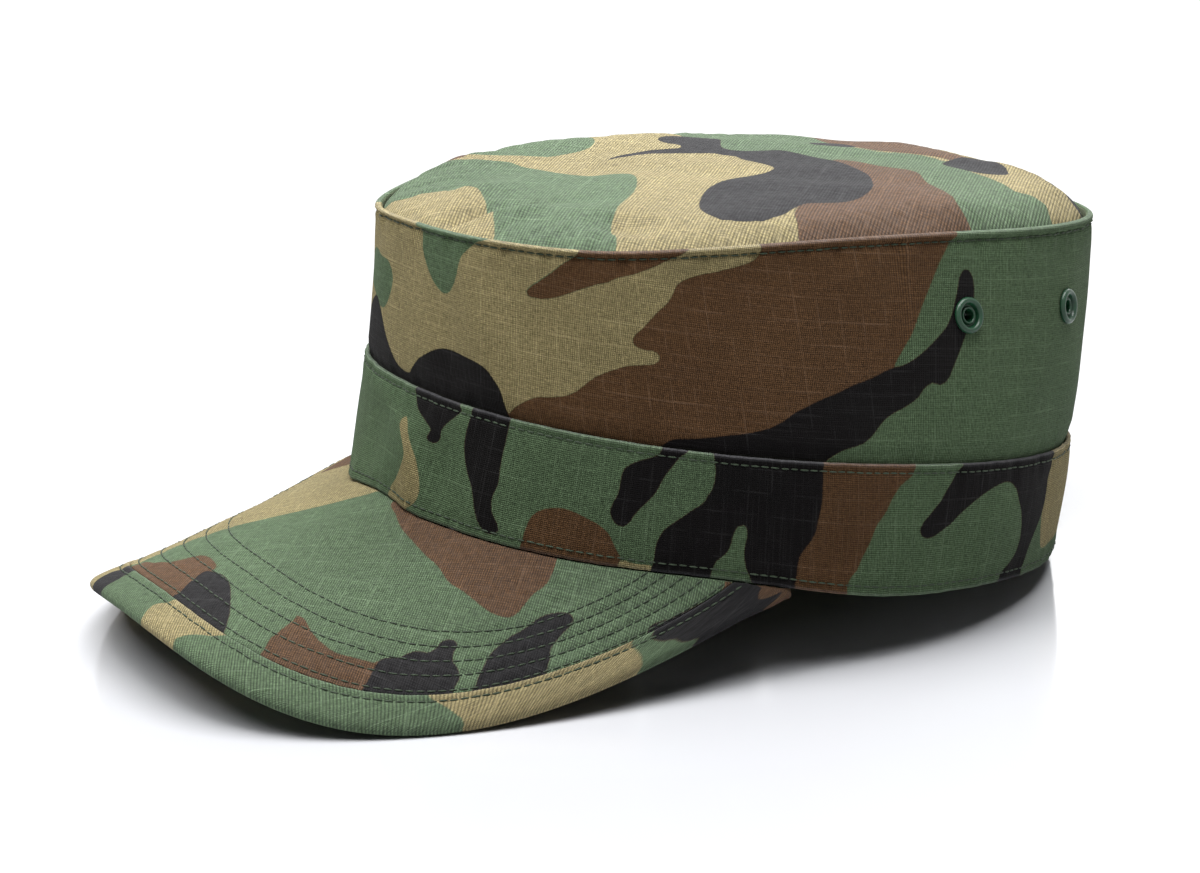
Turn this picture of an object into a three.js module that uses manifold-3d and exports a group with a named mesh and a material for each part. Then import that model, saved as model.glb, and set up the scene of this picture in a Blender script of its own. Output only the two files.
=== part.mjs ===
// A cloth field cap: an oval crown with a flat-sided wall, a doubled band, a bound peak and four eyelets.
// Millimetres and degrees. +Z is up, the peak points to -Y and the wearer's left is +X.
// The cap stands as it does on a table, on the two sides of its peak and on the back of its band.
import * as THREE from 'three';
import { mergeVertices } from 'three/addons/utils/BufferGeometryUtils.js';
import Module from 'manifold-3d';

const wasm = await Module();
wasm.setup();

// Fineness of the faceted surfaces: steps round the cap, closer together at the front, and along the peak
const ROUND_STEPS = 76;
const FRONT_CROWDING = 0.35;
const PEAK_STEPS = 36;
const EYELET_STEPS = 16;

// Steps for the slope of a surface: in degrees round the cap, as a share of a panel, and in millimetres
const TURN_STEP = 0.5;
const SHARE_STEP = 0.01;
const LENGTH_STEP = 0.5;

// How the cap stands: it leans back on the two sides of its peak and the back of its band
const LEAN_BACK = 9.4;

// Cloth and gaps
const CROWN_WALL = 1.6;
const BAND_WALL = 2.3;
const SEAM_GAP = 0.3;

// Rings of the cap from the foot up, each an oval in a plane of its own. long and wide are half its size,
// back moves it towards the back, square is 2 for an ellipse, slope lifts its back, and rise lifts its two
// sides and drops its front and back.
const RINGS = {
  foot: { long: 103.5, wide: 90.5, back: 0.0, square: 2.02, height: 0.0, slope: 0.0, rise: 0.0 },
  head: { long: 100.4, wide: 87.0, back: -0.5, square: 2.2, height: 32.8, slope: 0.004, rise: 0.0 },
  rim: { long: 101.8, wide: 70.5, back: -2.9, square: 2.55, height: 87.0, slope: 0.096, rise: 1.6 },
};
const REAR_FULLNESS = 0.023;
const BAND_HEIGHT = RINGS.head.height - RINGS.foot.height;
const WALL_HEIGHT = RINGS.rim.height - RINGS.head.height;

// How far the wall and the band swell at the back past the straight line between their rings,
// how far the band stands proud of the wall, and how deep the wall is tucked into it
const WALL_SWELL = 2.7;
const BAND_SWELL = 0.8;
const BAND_PROUD = 0.5;
const WALL_TUCK = 4.0;
const TUCK_INSET = 1.1;

// Welt along the upper edge of the crown wall, a rounded lip over a stitched valley: a row for each step down
// from the edge, in welt heights, with how far it lies inside the wall's face
const WELT_HEIGHT = 2.4;
const WELT_SECTION = [
  { down: 1.35, inset: 0.35 },
  { down: 0.8, inset: -0.27 },
  { down: 0.3, inset: -0.45 },
  { down: 0.0, inset: 0.1 },
];
const WELT_BACK = { edgeShare: 0.75, down: 0.4 };

// Levels of the faceted rows of the crown wall and the band, and where their folds die out
const WALL_SHOULDER = { level: 0.05, inset: 0.3 };
const WALL_ROWS = { outer: [0.16, 0.32, 0.48, 0.64, 0.8], inner: [0.75, 0.4] };
const WALL_FOLD_FADE = { footEnd: 0.15, headStart: 0.88, headEnd: 0.96 };
const BAND_ROWS = { outer: [0, 0.1, 0.26, 0.44, 0.62, 0.8, 0.94], headInset: 0.3, inner: [0.4, 0] };
const BAND_FOLD_FADE = { start: 0.62, end: 0.84 };
const BAND_POCKET = { depth: 5.2, slack: 0.1, chamfer: 0.05 };

// Top panel
const DOME_HEIGHT = 9.5;
const DOME_REAR = 0.35;
const DOME_SPREAD = 4.0;
const DOME_SHOULDER = 0.5;
const DOME_FOOT = 1.2;
const TOP_INSET = CROWN_WALL + SEAM_GAP + 0.05;
const TOP_SKIRT = 1.1;
const TOP_OUTER_ROWS = [0.18, 0.38, 0.56, 0.72, 0.84, 0.92, 0.965, 0.99, 1];
const TOP_INNER_ROWS = [0.965, 0.91, 0.78, 0.5, 0.2];
const TOP_SLOPE_REACH = 0.985;
const TOP_FOLD_EDGE = 24;

// Peak: a strip between the foot of the band and a rim, both seen from above as ovals
const PEAK_END = 72;
const PEAK_SPREAD = 1.3;
const PEAK_REACH = 142.2;
const PEAK_SQUARENESS = 2.6;
const PEAK_FRONT_DROP = 26.0;
const PEAK_SIDE_DROP = 68.5;
const PEAK_SIDE_SHARE = 1.82;
const PEAK_SAG = 2.7;
const PEAK_SAG_LENGTH = 70;
const PEAK_THICKNESS = 2.6;
const PEAK_FACE_ROWS = [0.7, 0.4];
const PEAK_TURN_UPRIGHT = 2;
const PEAK_EVEN_END = 6;

// The thin tongue along the peak's rim, which stops short of the peak's ends, and the binding round it
const PEAK_TONGUE = 0.8;
const TONGUE_END = 54;
const TONGUE_RUNOUT = 10;
const BINDING_WIDTH = 11.5;
const BINDING_CLOTH = 1.0;
const BINDING_NOSE = { inFromRim: 1.25, edge: 0.35, drop: 0.5 };
const BINDING_FLUSH_RUN = 4;
const MIN_LEDGE = 0.25;
const BUTT_GAP = 0.4;

// Eyelets: where they sit on the crown wall, and their turned shape
const EYELET_ANGLES = { front: 98.0, rear: 123.5 };
const EYELET_LEVEL = 0.64;
const EYELET_HOLE = 2.1;
const EYELET_BARREL = 3.1;
const EYELET_FLANGE = 4.8;
const EYELET_WASHER = 4.0;
const EYELET_GAP = 0.65;
const EYELET_WASHER_THICKNESS = 0.7;
const EYELET_FOOTING = { turn: 2.5, level: 0.06 };
const PUNCH_LENGTH = 12;
// Rolled flange: a row for each point from its foot over the crest into the hole, radius in from the flange's
// edge and height over its foot
const EYELET_ROLL = [
  { inward: 0.3, height: 0.0 },
  { inward: 0.0, height: 0.4 },
  { inward: 0.3, height: 0.95 },
  { inward: 1.0, height: 1.25 },
  { inward: 1.9, height: 1.1 },
  { inward: 2.4, height: 0.55 },
  { inward: 2.7, height: -0.2 },
];

// The table that the cap stands on
const TABLE = { width: 400, thickness: 20 };

// Soft folds, a row for each: around is degrees from the front towards the wearer's left, level runs from
// 0 at the foot of a panel to 1 at its upper edge, and depth is outward, so a negative one is a dent.
// lean moves the fold round the cap as it goes up.
const WALL_FOLDS = [
  { around: 9, level: 0.35, lean: -6, width: 5, span: 0.45, depth: -0.8 },
  { around: 21, level: 0.6, lean: 0, width: 8, span: 0.5, depth: 0.6 },
  { around: 62, level: 0.7, lean: 10, width: 14, span: 0.4, depth: -0.7 },
  { around: 122, level: 0.9, lean: 0, width: 5, span: 0.1, depth: -0.8 },
  { around: 150, level: 0.4, lean: -8, width: 10, span: 0.5, depth: 0.8 },
  { around: -35, level: 0.5, lean: 6, width: 12, span: 0.5, depth: -0.8 },
  { around: -100, level: 0.6, lean: -6, width: 12, span: 0.5, depth: -0.9 },
  { around: -150, level: 0.4, lean: 8, width: 10, span: 0.5, depth: 0.8 },
];
const BAND_FOLDS = [
  { around: 5, level: 0.35, lean: -9, width: 4.5, span: 0.55, depth: 1.2 },
  { around: 13, level: 0.2, lean: -8, width: 5, span: 0.5, depth: -1.2 },
  { around: -8, level: 0.55, lean: 0, width: 5, span: 0.5, depth: -0.9 },
  { around: -16, level: 0.4, lean: 0, width: 7, span: 0.4, depth: -0.7 },
  { around: -16, level: 0.0, lean: 0, width: 6, span: 0.14, depth: 1.4 },
  { around: 66, level: 0.2, lean: -4, width: 7, span: 0.5, depth: -0.6 },
  { around: 104, level: 0.4, lean: 4, width: 9, span: 0.5, depth: 0.6 },
];
// Dents and puffs of the top panel: across is towards the wearer's left, along is towards the back
const TOP_FOLDS = [
  { across: 7, along: -92, turn: 20, length: 14, width: 5, depth: -1.6 },
  { across: -10, along: -86, turn: -25, length: 14, width: 6, depth: 1.2 },
  { across: 40, along: -68, turn: 60, length: 12, width: 6, depth: -1.3 },
  { across: 64, along: 6, turn: 10, length: 10, width: 5, depth: -1.2 },
  { across: 62, along: 20, turn: -20, length: 12, width: 6, depth: 0.8 },
  { across: -45, along: -60, turn: -60, length: 14, width: 8, depth: -1.2 },
  { across: 5, along: 76, turn: 80, length: 30, width: 14, depth: 1.0 },
  { across: -58, along: -22, turn: 0, length: 34, width: 18, depth: 1.6 },
  { across: -42, along: 52, turn: 30, length: 26, width: 16, depth: -0.8 },
  { across: -55, along: 50, turn: 50, length: 14, width: 8, depth: -1.2 },
];
// Where the foot of the band and the rim of the crown leave their planes
const RING_WAVES = {
  foot: [
    { around: 58, spread: 14, lift: 1.0 },
    { around: -58, spread: 14, lift: 1.0 },
    { around: 88, spread: 14, lift: -1.5 },
    { around: -88, spread: 14, lift: -1.5 },
    { around: -2, spread: 10, lift: 2.0 },
    { around: -33, spread: 13, lift: -2.2 },
    { around: 180, spread: 38, lift: -1.1 },
  ],
  head: [],
  rim: [
    { around: 45, spread: 16, lift: -0.9 },
    { around: 88, spread: 18, lift: 0.9 },
    { around: -28, spread: 22, lift: -2.6 },
  ],
};

// Colours of the pieces
const CLOTH_GREEN = 0x57724f;
const CLOTH_TAN = 0xb3a276;
const EYELET_GREEN = 0x2c4a36;

const { smoothstep, clamp } = THREE.MathUtils;
const radians = THREE.MathUtils.degToRad;
const bell = (distance, spread) => Math.exp(-((distance / spread) ** 2));
const signedPower = (value, power) => Math.sign(value) * Math.abs(value) ** power;

// Shortest way round the cap between two directions, in degrees
function turnBetween(a, b) {
  return ((a - b + 540) % 360) - 180;
}

function ringWave(name, angle) {
  return RING_WAVES[name].reduce((sum, wave) => (
    sum + wave.lift * bell(turnBetween(angle, wave.around), wave.spread)
  ), 0);
}

// A point of a ring, inset towards the middle
function ringPoint(name, angle, inset = 0) {
  const ring = RINGS[name];
  const sine = Math.sin(radians(angle));
  const cosine = Math.cos(radians(angle));
  const power = 2 / ring.square;
  const along = -(ring.long - inset) * signedPower(cosine, power);
  const fullness = 1 + (REAR_FULLNESS * along) / (ring.long - inset);
  const across = (ring.wide - inset) * signedPower(sine, power) * fullness;
  const y = along + ring.back;
  const lift = ringWave(name, angle) - ring.rise * Math.cos(2 * radians(angle));
  return new THREE.Vector3(across, y, ring.height + ring.slope * y + lift);
}

// Sum of the folds of a wall at a place on it
function foldDepth(folds, angle, level) {
  return folds.reduce((sum, fold) => {
    const centre = fold.around + fold.lean * (level - fold.level);
    const aside = bell(turnBetween(angle, centre), fold.width);
    return sum + fold.depth * aside * bell(level - fold.level, fold.span);
  }, 0);
}

// A point on the wall between two rings: level 0 is the lower ring, 1 the upper, and inset goes inwards
function wallPoint(lower, upper, angle, level, inset, swell) {
  const low = ringPoint(lower, angle, inset);
  const high = ringPoint(upper, angle, inset);
  const outward = ringOutward(lower, angle);
  return low.lerp(high, level).addScaledVector(outward, swell);
}

// Level direction pointing out of a ring
function ringOutward(name, angle) {
  const ahead = ringPoint(name, angle + 1);
  const behind = ringPoint(name, angle - 1);
  return new THREE.Vector3(ahead.y - behind.y, behind.x - ahead.x, 0).normalize();
}

// Below level 0 the crown wall goes straight down inside the band
function crownWallPoint(angle, level, inset) {
  if (level < 0) return wallPoint('foot', 'head', angle, 1 + level * (WALL_HEIGHT / BAND_HEIGHT), inset, 0);
  const { footEnd, headStart, headEnd } = WALL_FOLD_FADE;
  const fade = smoothstep(level, 0, footEnd) * (1 - smoothstep(level, headStart, headEnd));
  const folds = foldDepth(WALL_FOLDS, angle, level) * fade;
  return wallPoint('head', 'rim', angle, level, inset, WALL_SWELL * rearSwell(angle, level) + folds);
}

// The band stands proud of the wall at its upper edge and lies on the foot ring below
function bandPoint(angle, level, inset) {
  const { start, end } = BAND_FOLD_FADE;
  const folds = foldDepth(BAND_FOLDS, angle, level) * (1 - smoothstep(level, start, end));
  const swell = BAND_SWELL * rearSwell(angle, level) + BAND_PROUD * level;
  return wallPoint('foot', 'head', angle, level, inset, swell + folds);
}

// Nothing at the front and at the edges of a wall, 1 in the middle of its back
function rearSwell(angle, level) {
  const upright = Math.sin(Math.PI * clamp(level, 0, 1));
  return upright * (1 - Math.cos(radians(angle))) / 2;
}

// A point of the top panel: reach 1 is its edge, 0 its middle
function topPoint(angle, reach) {
  const edge = ringPoint('rim', angle, TOP_INSET);
  const ring = RINGS.rim;
  const x = edge.x * reach;
  const y = ring.back + (edge.y - ring.back) * reach;
  const edgeLift = edge.z - ring.height - ring.slope * edge.y;
  const plane = ring.height - DOME_FOOT + ring.slope * y + edgeLift * reach ** 2;
  const height = DOME_HEIGHT * (1 + DOME_REAR * (y - ring.back) / ring.long);
  const dome = height * (1 - reach ** DOME_SPREAD) ** DOME_SHOULDER;
  return new THREE.Vector3(x, y, plane + dome + topFold(x, y) * (1 - reach ** TOP_FOLD_EDGE));
}

// Sum of the dents and puffs of the top panel
function topFold(x, y) {
  return TOP_FOLDS.reduce((sum, fold) => {
    const dx = x - fold.across;
    const dy = y - fold.along;
    const turn = radians(fold.turn);
    const lengthwise = dx * Math.sin(turn) + dy * Math.cos(turn);
    const crosswise = dx * Math.cos(turn) - dy * Math.sin(turn);
    return sum + fold.depth * bell(lengthwise, fold.length) * bell(crosswise, fold.width);
  }, 0);
}

// Outward direction of a surface given as a function of two numbers, by small steps on it
function surfaceNormal(surface, u, v, stepU, stepV) {
  const alongU = surface(u + stepU, v).sub(surface(u - stepU, v));
  const alongV = surface(u, v + stepV).sub(surface(u, v - stepV));
  return alongU.cross(alongV).normalize();
}

// The rim of the peak, seen from above an oval whose ends meet the foot of the band
function peakRim(angle) {
  const end = ringPoint('foot', PEAK_END);
  const share = signedPower(clamp(angle / PEAK_END, -1, 1), PEAK_SPREAD);
  const sine = Math.sin(share * Math.PI / 2);
  const forward = Math.max(Math.cos(share * Math.PI / 2), 0) ** (2 / PEAK_SQUARENESS);
  const drop = PEAK_FRONT_DROP + (PEAK_SIDE_DROP - PEAK_FRONT_DROP) * Math.abs(sine) ** PEAK_SIDE_SHARE;
  const x = end.x * signedPower(sine, 2 / PEAK_SQUARENESS);
  const y = end.y - PEAK_REACH * forward;
  return new THREE.Vector3(x, y, end.z - SEAM_GAP - drop * forward);
}

// Where the peak leaves the band, just under the outer face of the band's foot
function peakSeam(angle) {
  const seam = ringPoint('foot', angle);
  seam.z -= SEAM_GAP;
  return seam;
}

// Width of the peak at an angle, measured square to its rim
function peakWidth(angle) {
  const near = clamp(angle, -PEAK_END + 1, PEAK_END - 1);
  const tangent = peakRim(near + TURN_STEP).sub(peakRim(near - TURN_STEP)).normalize();
  return peakRim(angle).sub(peakSeam(angle)).cross(tangent).length();
}

// The upper face of the peak: inFromRim runs square to the rim, and past the seam it lies under the band
function peakFace(angle, inFromRim) {
  const seam = peakSeam(angle);
  const width = peakWidth(angle);
  if (inFromRim > width) {
    const under = ringPoint('foot', angle, Math.min(inFromRim - width, BAND_WALL));
    under.z = seam.z;
    return under;
  }
  const share = width > 0 ? 1 - inFromRim / width : 0;
  const rim = peakRim(angle);
  const length = rim.distanceTo(seam);
  const point = seam.lerp(rim, share);
  point.z -= PEAK_SAG * sagShape(share) * (length / PEAK_SAG_LENGTH);
  return point;
}

// Sag of the peak from the seam, 0, to the rim, 1: deepest, with value 1, a third of the way out
function sagShape(share) {
  return (27 / 4) * share * (1 - share) ** 2;
}

// Direction square to the peak's face halfway between rim and seam
function peakUp(angle) {
  const inside = clamp(angle, -PEAK_END + PEAK_EVEN_END, PEAK_END - PEAK_EVEN_END);
  const up = surfaceNormal(peakFace, inside, peakWidth(inside) / 2, TURN_STEP, LENGTH_STEP);
  return up.z < 0 ? up.negate() : up;
}

// A point of the peak's section: lift is square to its face, and upright where it lies under the band
function peakPoint(angle, inFromRim, lift) {
  const width = peakWidth(angle);
  const upright = new THREE.Vector3(0, 0, 1);
  const turned = smoothstep(inFromRim, width - PEAK_TURN_UPRIGHT, width);
  const up = peakUp(angle).lerp(upright, turned).normalize();
  return peakFace(angle, inFromRim).addScaledVector(up, lift);
}

// Body from closed loops of points, each joined to the next: closed round the cap, or with flat ends
function loftLoops(loops, { closed, endTriangles = [] }) {
  const size = loops[0].length;
  const positions = loops.flat().flatMap((point) => [point.x, point.y, point.z]);
  const indices = [];
  const spans = closed ? loops.length : loops.length - 1;
  for (let i = 0; i < spans; i += 1) {
    const next = (i + 1) % loops.length;
    for (let k = 0; k < size; k += 1) {
      const after = (k + 1) % size;
      const corners = [i * size + k, next * size + k, next * size + after, i * size + after];
      indices.push(corners[0], corners[1], corners[2], corners[0], corners[2], corners[3]);
    }
  }
  const last = (loops.length - 1) * size;
  endTriangles.forEach(([a, b, c]) => {
    indices.push(a, b, c, last + a, last + c, last + b);
  });
  return orientOutward(positions, indices);
}

// Body with the same section of [level, inset] rows all round the cap
function loftRound(section, place) {
  const loops = roundAngles.map((angle) => section.map(([level, inset]) => place(angle, level, inset)));
  return loftLoops(loops, { closed: true });
}

// Body whose loops run between two poles
function loftBetweenPoles(loops, firstPole, lastPole) {
  const size = loops[0].length;
  const points = [...loops.flat(), firstPole, lastPole];
  const positions = points.flatMap((point) => [point.x, point.y, point.z]);
  const first = loops.length * size;
  const last = first + 1;
  const indices = [];
  for (let k = 0; k < size; k += 1) {
    const after = (k + 1) % size;
    indices.push(first, k, after);
    for (let i = 0; i < loops.length - 1; i += 1) {
      const here = i * size;
      const below = here + size;
      indices.push(here + k, below + k, below + after, here + k, below + after, here + after);
    }
    indices.push(last, (loops.length - 1) * size + after, (loops.length - 1) * size + k);
  }
  return orientOutward(positions, indices);
}

// Geometry whose faces point out, whichever way round its loops were given
function orientOutward(positions, indices) {
  const corner = (index) => new THREE.Vector3().fromArray(positions, index * 3);
  let volume = 0;
  for (let i = 0; i < indices.length; i += 3) {
    const [a, b, c] = [corner(indices[i]), corner(indices[i + 1]), corner(indices[i + 2])];
    volume += a.dot(b.cross(c));
  }
  const turned = volume < 0 ? indices.toReversed() : indices;
  const geometry = new THREE.BufferGeometry();
  geometry.setAttribute('position', new THREE.Float32BufferAttribute(positions, 3));
  geometry.setIndex(turned);
  return geometry;
}

function toSolid(geometry) {
  const bare = geometry.clone();
  bare.deleteAttribute('normal');
  bare.deleteAttribute('uv');
  const merged = mergeVertices(bare, 1e-4);
  const mesh = new wasm.Mesh({
    numProp: 3,
    vertProperties: new Float32Array(merged.attributes.position.array),
    triVerts: new Uint32Array(merged.index.array),
  });
  return new wasm.Manifold(mesh);
}

function toGeometry(solid) {
  const mesh = solid.getMesh();
  const geometry = new THREE.BufferGeometry();
  geometry.setAttribute('position', new THREE.BufferAttribute(new Float32Array(mesh.vertProperties), 3));
  geometry.setIndex(new THREE.BufferAttribute(new Uint32Array(mesh.triVerts), 1));
  return geometry;
}

function cut(geometry, tools) {
  return toGeometry(tools.reduce((solid, tool) => solid.subtract(toSolid(tool)), toSolid(geometry)));
}

// Directions round the cap, closer together at the front, where the folds are
const roundAngles = Array.from({ length: ROUND_STEPS }, (_, i) => {
  const even = (2 * Math.PI * i) / ROUND_STEPS - Math.PI;
  return THREE.MathUtils.radToDeg(even - FRONT_CROWDING * Math.sin(even));
});

// Crown wall: rows of its section as [level, inset], from the tuck inside the band up and back down inside
function makeCrownSide() {
  const tuck = -WALL_TUCK / WALL_HEIGHT;
  const welt = WELT_HEIGHT / WALL_HEIGHT;
  const section = [
    [tuck, TUCK_INSET],
    [0, TUCK_INSET],
    [WALL_SHOULDER.level, WALL_SHOULDER.inset],
    ...WALL_ROWS.outer.map((level) => [level, 0]),
    ...WELT_SECTION.map(({ down, inset }) => [1 - welt * down, inset]),
    [1, CROWN_WALL * WELT_BACK.edgeShare],
    [1 - welt * WELT_BACK.down, CROWN_WALL],
    ...WALL_ROWS.inner.map((level) => [level, CROWN_WALL]),
    [tuck, CROWN_WALL + TUCK_INSET],
  ];
  return loftRound(section, crownWallPoint);
}

// Band: a doubled strip, thinner at its head, where the foot of the crown wall is tucked in
function makeBand() {
  const pocket = 1 - BAND_POCKET.depth / BAND_HEIGHT;
  const lip = TUCK_INSET - SEAM_GAP + BAND_PROUD;
  const section = [
    ...BAND_ROWS.outer.map((level) => [level, 0]),
    [1, BAND_ROWS.headInset],
    [1, lip],
    [pocket, lip - BAND_POCKET.slack],
    [pocket - BAND_POCKET.chamfer, BAND_WALL],
    ...BAND_ROWS.inner.map((level) => [level, BAND_WALL]),
  ];
  return loftRound(section, bandPoint);
}

// Top panel: outer face, then its thickness square to that face, closed at the turned-down edge
function makeCrownTop() {
  const place = (angle, reach, depth) => {
    const up = surfaceNormal(topPoint, angle, Math.min(reach, TOP_SLOPE_REACH), TURN_STEP, SHARE_STEP);
    if (up.z < 0) up.negate();
    return topPoint(angle, reach).addScaledVector(up, -depth);
  };
  const row = (reach, depth) => roundAngles.map((angle) => place(angle, reach, depth));
  const skirt = (inset) => roundAngles.map((angle) => {
    const point = ringPoint('rim', angle, TOP_INSET + inset);
    point.z -= DOME_FOOT + TOP_SKIRT;
    return point;
  });
  const loops = [
    ...TOP_OUTER_ROWS.map((reach) => row(reach, 0)),
    skirt(0),
    skirt(CROWN_WALL),
    ...TOP_INNER_ROWS.map((reach) => row(reach, CROWN_WALL)),
  ];
  const middle = topPoint(0, 0);
  const under = middle.clone();
  under.z -= CROWN_WALL;
  return loftBetweenPoles(loops, middle, under);
}

const peakAngles = Array.from({ length: PEAK_STEPS + 1 }, (_, i) => PEAK_END * ((2 * i) / PEAK_STEPS - 1));

// Peak board: section rows of [inFromRim, lift], with the thin tongue that the binding holds
function makeVisor() {
  const tongue = -(PEAK_THICKNESS - PEAK_TONGUE) / 2;
  return makePeakBody((angle) => {
    const width = peakWidth(angle);
    const root = width + BAND_WALL;
    const step = Math.min(BINDING_WIDTH, root - 2 * MIN_LEDGE - BUTT_GAP) + BUTT_GAP;
    const seam = Math.max(width, step + MIN_LEDGE);
    const trimmed = smoothstep(Math.abs(angle), TONGUE_END - TONGUE_RUNOUT, TONGUE_END);
    const tip = THREE.MathUtils.lerp(BINDING_CLOTH + SEAM_GAP, step - MIN_LEDGE, trimmed);
    const face = PEAK_FACE_ROWS.map((share) => [step + (seam - step) * share, 0]);
    const upper = [[root, 0], [seam, 0], ...face, [step, 0], [step, tongue], [tip, tongue]];
    const lower = upper.map(([inFromRim, lift]) => [inFromRim, -PEAK_THICKNESS - lift]).reverse();
    return [...upper, ...lower];
  });
}

// Peak binding: a channel folded round the rim, flush with the board where it passes under the band
function makeBinding() {
  const stand = BINDING_CLOTH + SEAM_GAP - (PEAK_THICKNESS - PEAK_TONGUE) / 2;
  return makePeakBody((angle) => {
    const width = peakWidth(angle);
    const edge = Math.min(BINDING_WIDTH, width + BAND_WALL - 2 * MIN_LEDGE - BUTT_GAP);
    const nose = BINDING_NOSE.inFromRim;
    const proud = (inFromRim) => stand * (smoothstep(width - inFromRim, 0, BINDING_FLUSH_RUN) - 1);
    const outside = [edge, (edge + nose) / 2, nose].map((inFromRim) => [inFromRim, proud(inFromRim)]);
    outside.push([BINDING_NOSE.edge, proud(BINDING_NOSE.edge) - BINDING_NOSE.drop]);
    const inside = [[BINDING_CLOTH, -BINDING_CLOTH], [edge, -BINDING_CLOTH]];
    const upper = [...inside, ...outside].map(([inFromRim, lift]) => [inFromRim, lift + stand]);
    const lower = upper.map(([inFromRim, lift]) => [inFromRim, -PEAK_THICKNESS - lift]).reverse();
    return [...upper, [0, -PEAK_THICKNESS / 2], ...lower];
  });
}

function makePeakBody(section) {
  const loops = peakAngles.map((angle) => (
    section(angle).map(([inFromRim, lift]) => peakPoint(angle, inFromRim, lift))
  ));
  const flat = section(peakAngles[0]).map(([inFromRim, lift]) => new THREE.Vector2(inFromRim, lift));
  return loftLoops(loops, { closed: false, endTriangles: THREE.ShapeUtils.triangulateShape(flat, []) });
}

// Eyelet section as [radius, height]: washer inside, barrel through the cloth, rolled flange outside
function makeEyelet() {
  const washer = -CROWN_WALL - EYELET_GAP;
  const back = washer - EYELET_WASHER_THICKNESS;
  const section = [
    [EYELET_HOLE, back],
    [EYELET_WASHER, back],
    [EYELET_WASHER, washer],
    [EYELET_BARREL, washer],
    [EYELET_BARREL, EYELET_GAP],
    ...EYELET_ROLL.map(({ inward, height }) => [EYELET_FLANGE - inward, EYELET_GAP + height]),
  ];
  const profile = [...section, section[0]].map(([radius, height]) => new THREE.Vector2(radius, height));
  return mergeVertices(withoutExtras(new THREE.LatheGeometry(profile, EYELET_STEPS)), 1e-4);
}

function withoutExtras(geometry) {
  geometry.deleteAttribute('normal');
  geometry.deleteAttribute('uv');
  return geometry;
}

// Where an eyelet sits: its middle on the outer face, and the turn that points its axis out of the cloth
function eyeletPlace(angle) {
  const face = (u, v) => crownWallPoint(u, v, 0);
  const behind = face(angle - EYELET_FOOTING.turn, EYELET_LEVEL);
  const position = face(angle + EYELET_FOOTING.turn, EYELET_LEVEL).lerp(behind, 0.5);
  const outward = surfaceNormal(face, angle, EYELET_LEVEL, EYELET_FOOTING.turn, EYELET_FOOTING.level);
  if (outward.dot(new THREE.Vector3(position.x, position.y, 0)) < 0) outward.negate();
  const turn = new THREE.Quaternion().setFromUnitVectors(new THREE.Vector3(0, 1, 0), outward);
  return new THREE.Matrix4().compose(position, turn, new THREE.Vector3(1, 1, 1));
}

function makeMesh(name, geometry, color, roughness, metalness) {
  const mesh = new THREE.Mesh(geometry, new THREE.MeshStandardMaterial({ color, roughness, metalness }));
  mesh.name = name;
  return mesh;
}

const eyelets = ['left', 'right'].flatMap((side) => ['front', 'rear'].map((place) => {
  const angle = EYELET_ANGLES[place] * (side === 'left' ? 1 : -1);
  return { name: `eyelet_${side}_${place}`, matrix: eyeletPlace(angle) };
}));

// Holes punched for the eyelets
const punches = eyelets.map(({ matrix }) => {
  const radius = EYELET_BARREL + SEAM_GAP;
  return new THREE.CylinderGeometry(radius, radius, PUNCH_LENGTH, EYELET_STEPS).applyMatrix4(matrix);
});

// The cap leans back about the wearer's left-right axis
const lean = new THREE.Matrix4().makeRotationX(-radians(LEAN_BACK));

function lowestPoint(geometry) {
  const leaned = geometry.clone().applyMatrix4(lean);
  leaned.computeBoundingBox();
  return leaned.boundingBox.min.z;
}

const binding = makeBinding();
const tableHeight = lowestPoint(binding);

// Everything of the band that would reach below the table is pressed flat
const table = new THREE.BoxGeometry(TABLE.width, TABLE.width, TABLE.thickness)
  .translate(0, 0, tableHeight - TABLE.thickness / 2)
  .applyMatrix4(lean.clone().invert());

const cap = new THREE.Group();
cap.add(
  makeMesh('crown_top', makeCrownTop(), CLOTH_TAN, 0.9, 0),
  makeMesh('crown_side', cut(makeCrownSide(), punches), CLOTH_GREEN, 0.9, 0),
  makeMesh('band', cut(makeBand(), [table]), CLOTH_GREEN, 0.9, 0),
  makeMesh('visor', makeVisor(), CLOTH_GREEN, 0.9, 0),
  makeMesh('visor_binding', binding, CLOTH_TAN, 0.9, 0),
);
eyelets.forEach(({ name, matrix }) => {
  const eyelet = makeMesh(name, makeEyelet(), EYELET_GREEN, 0.35, 0.0);
  eyelet.applyMatrix4(matrix);
  cap.add(eyelet);
});

// Stand the cap on the table with the middle of its box over the origin
cap.rotation.x = -radians(LEAN_BACK);
cap.position.z = -tableHeight;
cap.updateMatrixWorld(true);
const extent = new THREE.Box3().setFromObject(cap);
cap.position.y = -(extent.min.y + extent.max.y) / 2;

const model = new THREE.Group();
model.add(cap);

export default model;
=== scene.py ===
import math
from collections import Counter

import bpy
import numpy as np
from mathutils import Matrix, Vector


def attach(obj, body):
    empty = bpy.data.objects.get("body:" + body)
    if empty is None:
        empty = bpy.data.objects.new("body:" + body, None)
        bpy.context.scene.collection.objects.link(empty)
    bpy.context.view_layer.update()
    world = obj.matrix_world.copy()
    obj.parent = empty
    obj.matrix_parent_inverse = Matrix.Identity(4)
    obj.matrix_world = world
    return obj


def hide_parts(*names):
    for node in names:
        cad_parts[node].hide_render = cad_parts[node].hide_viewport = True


# A field cap in woodland camouflage: ripstop cotton panels, sewn rows, a bound peak and painted eyelets.
# Shapes are worked out in millimetres in the cap's own frame, where the foot of the band lies level, then
# leaned back and set on the table in the row frame, in metres.

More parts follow.
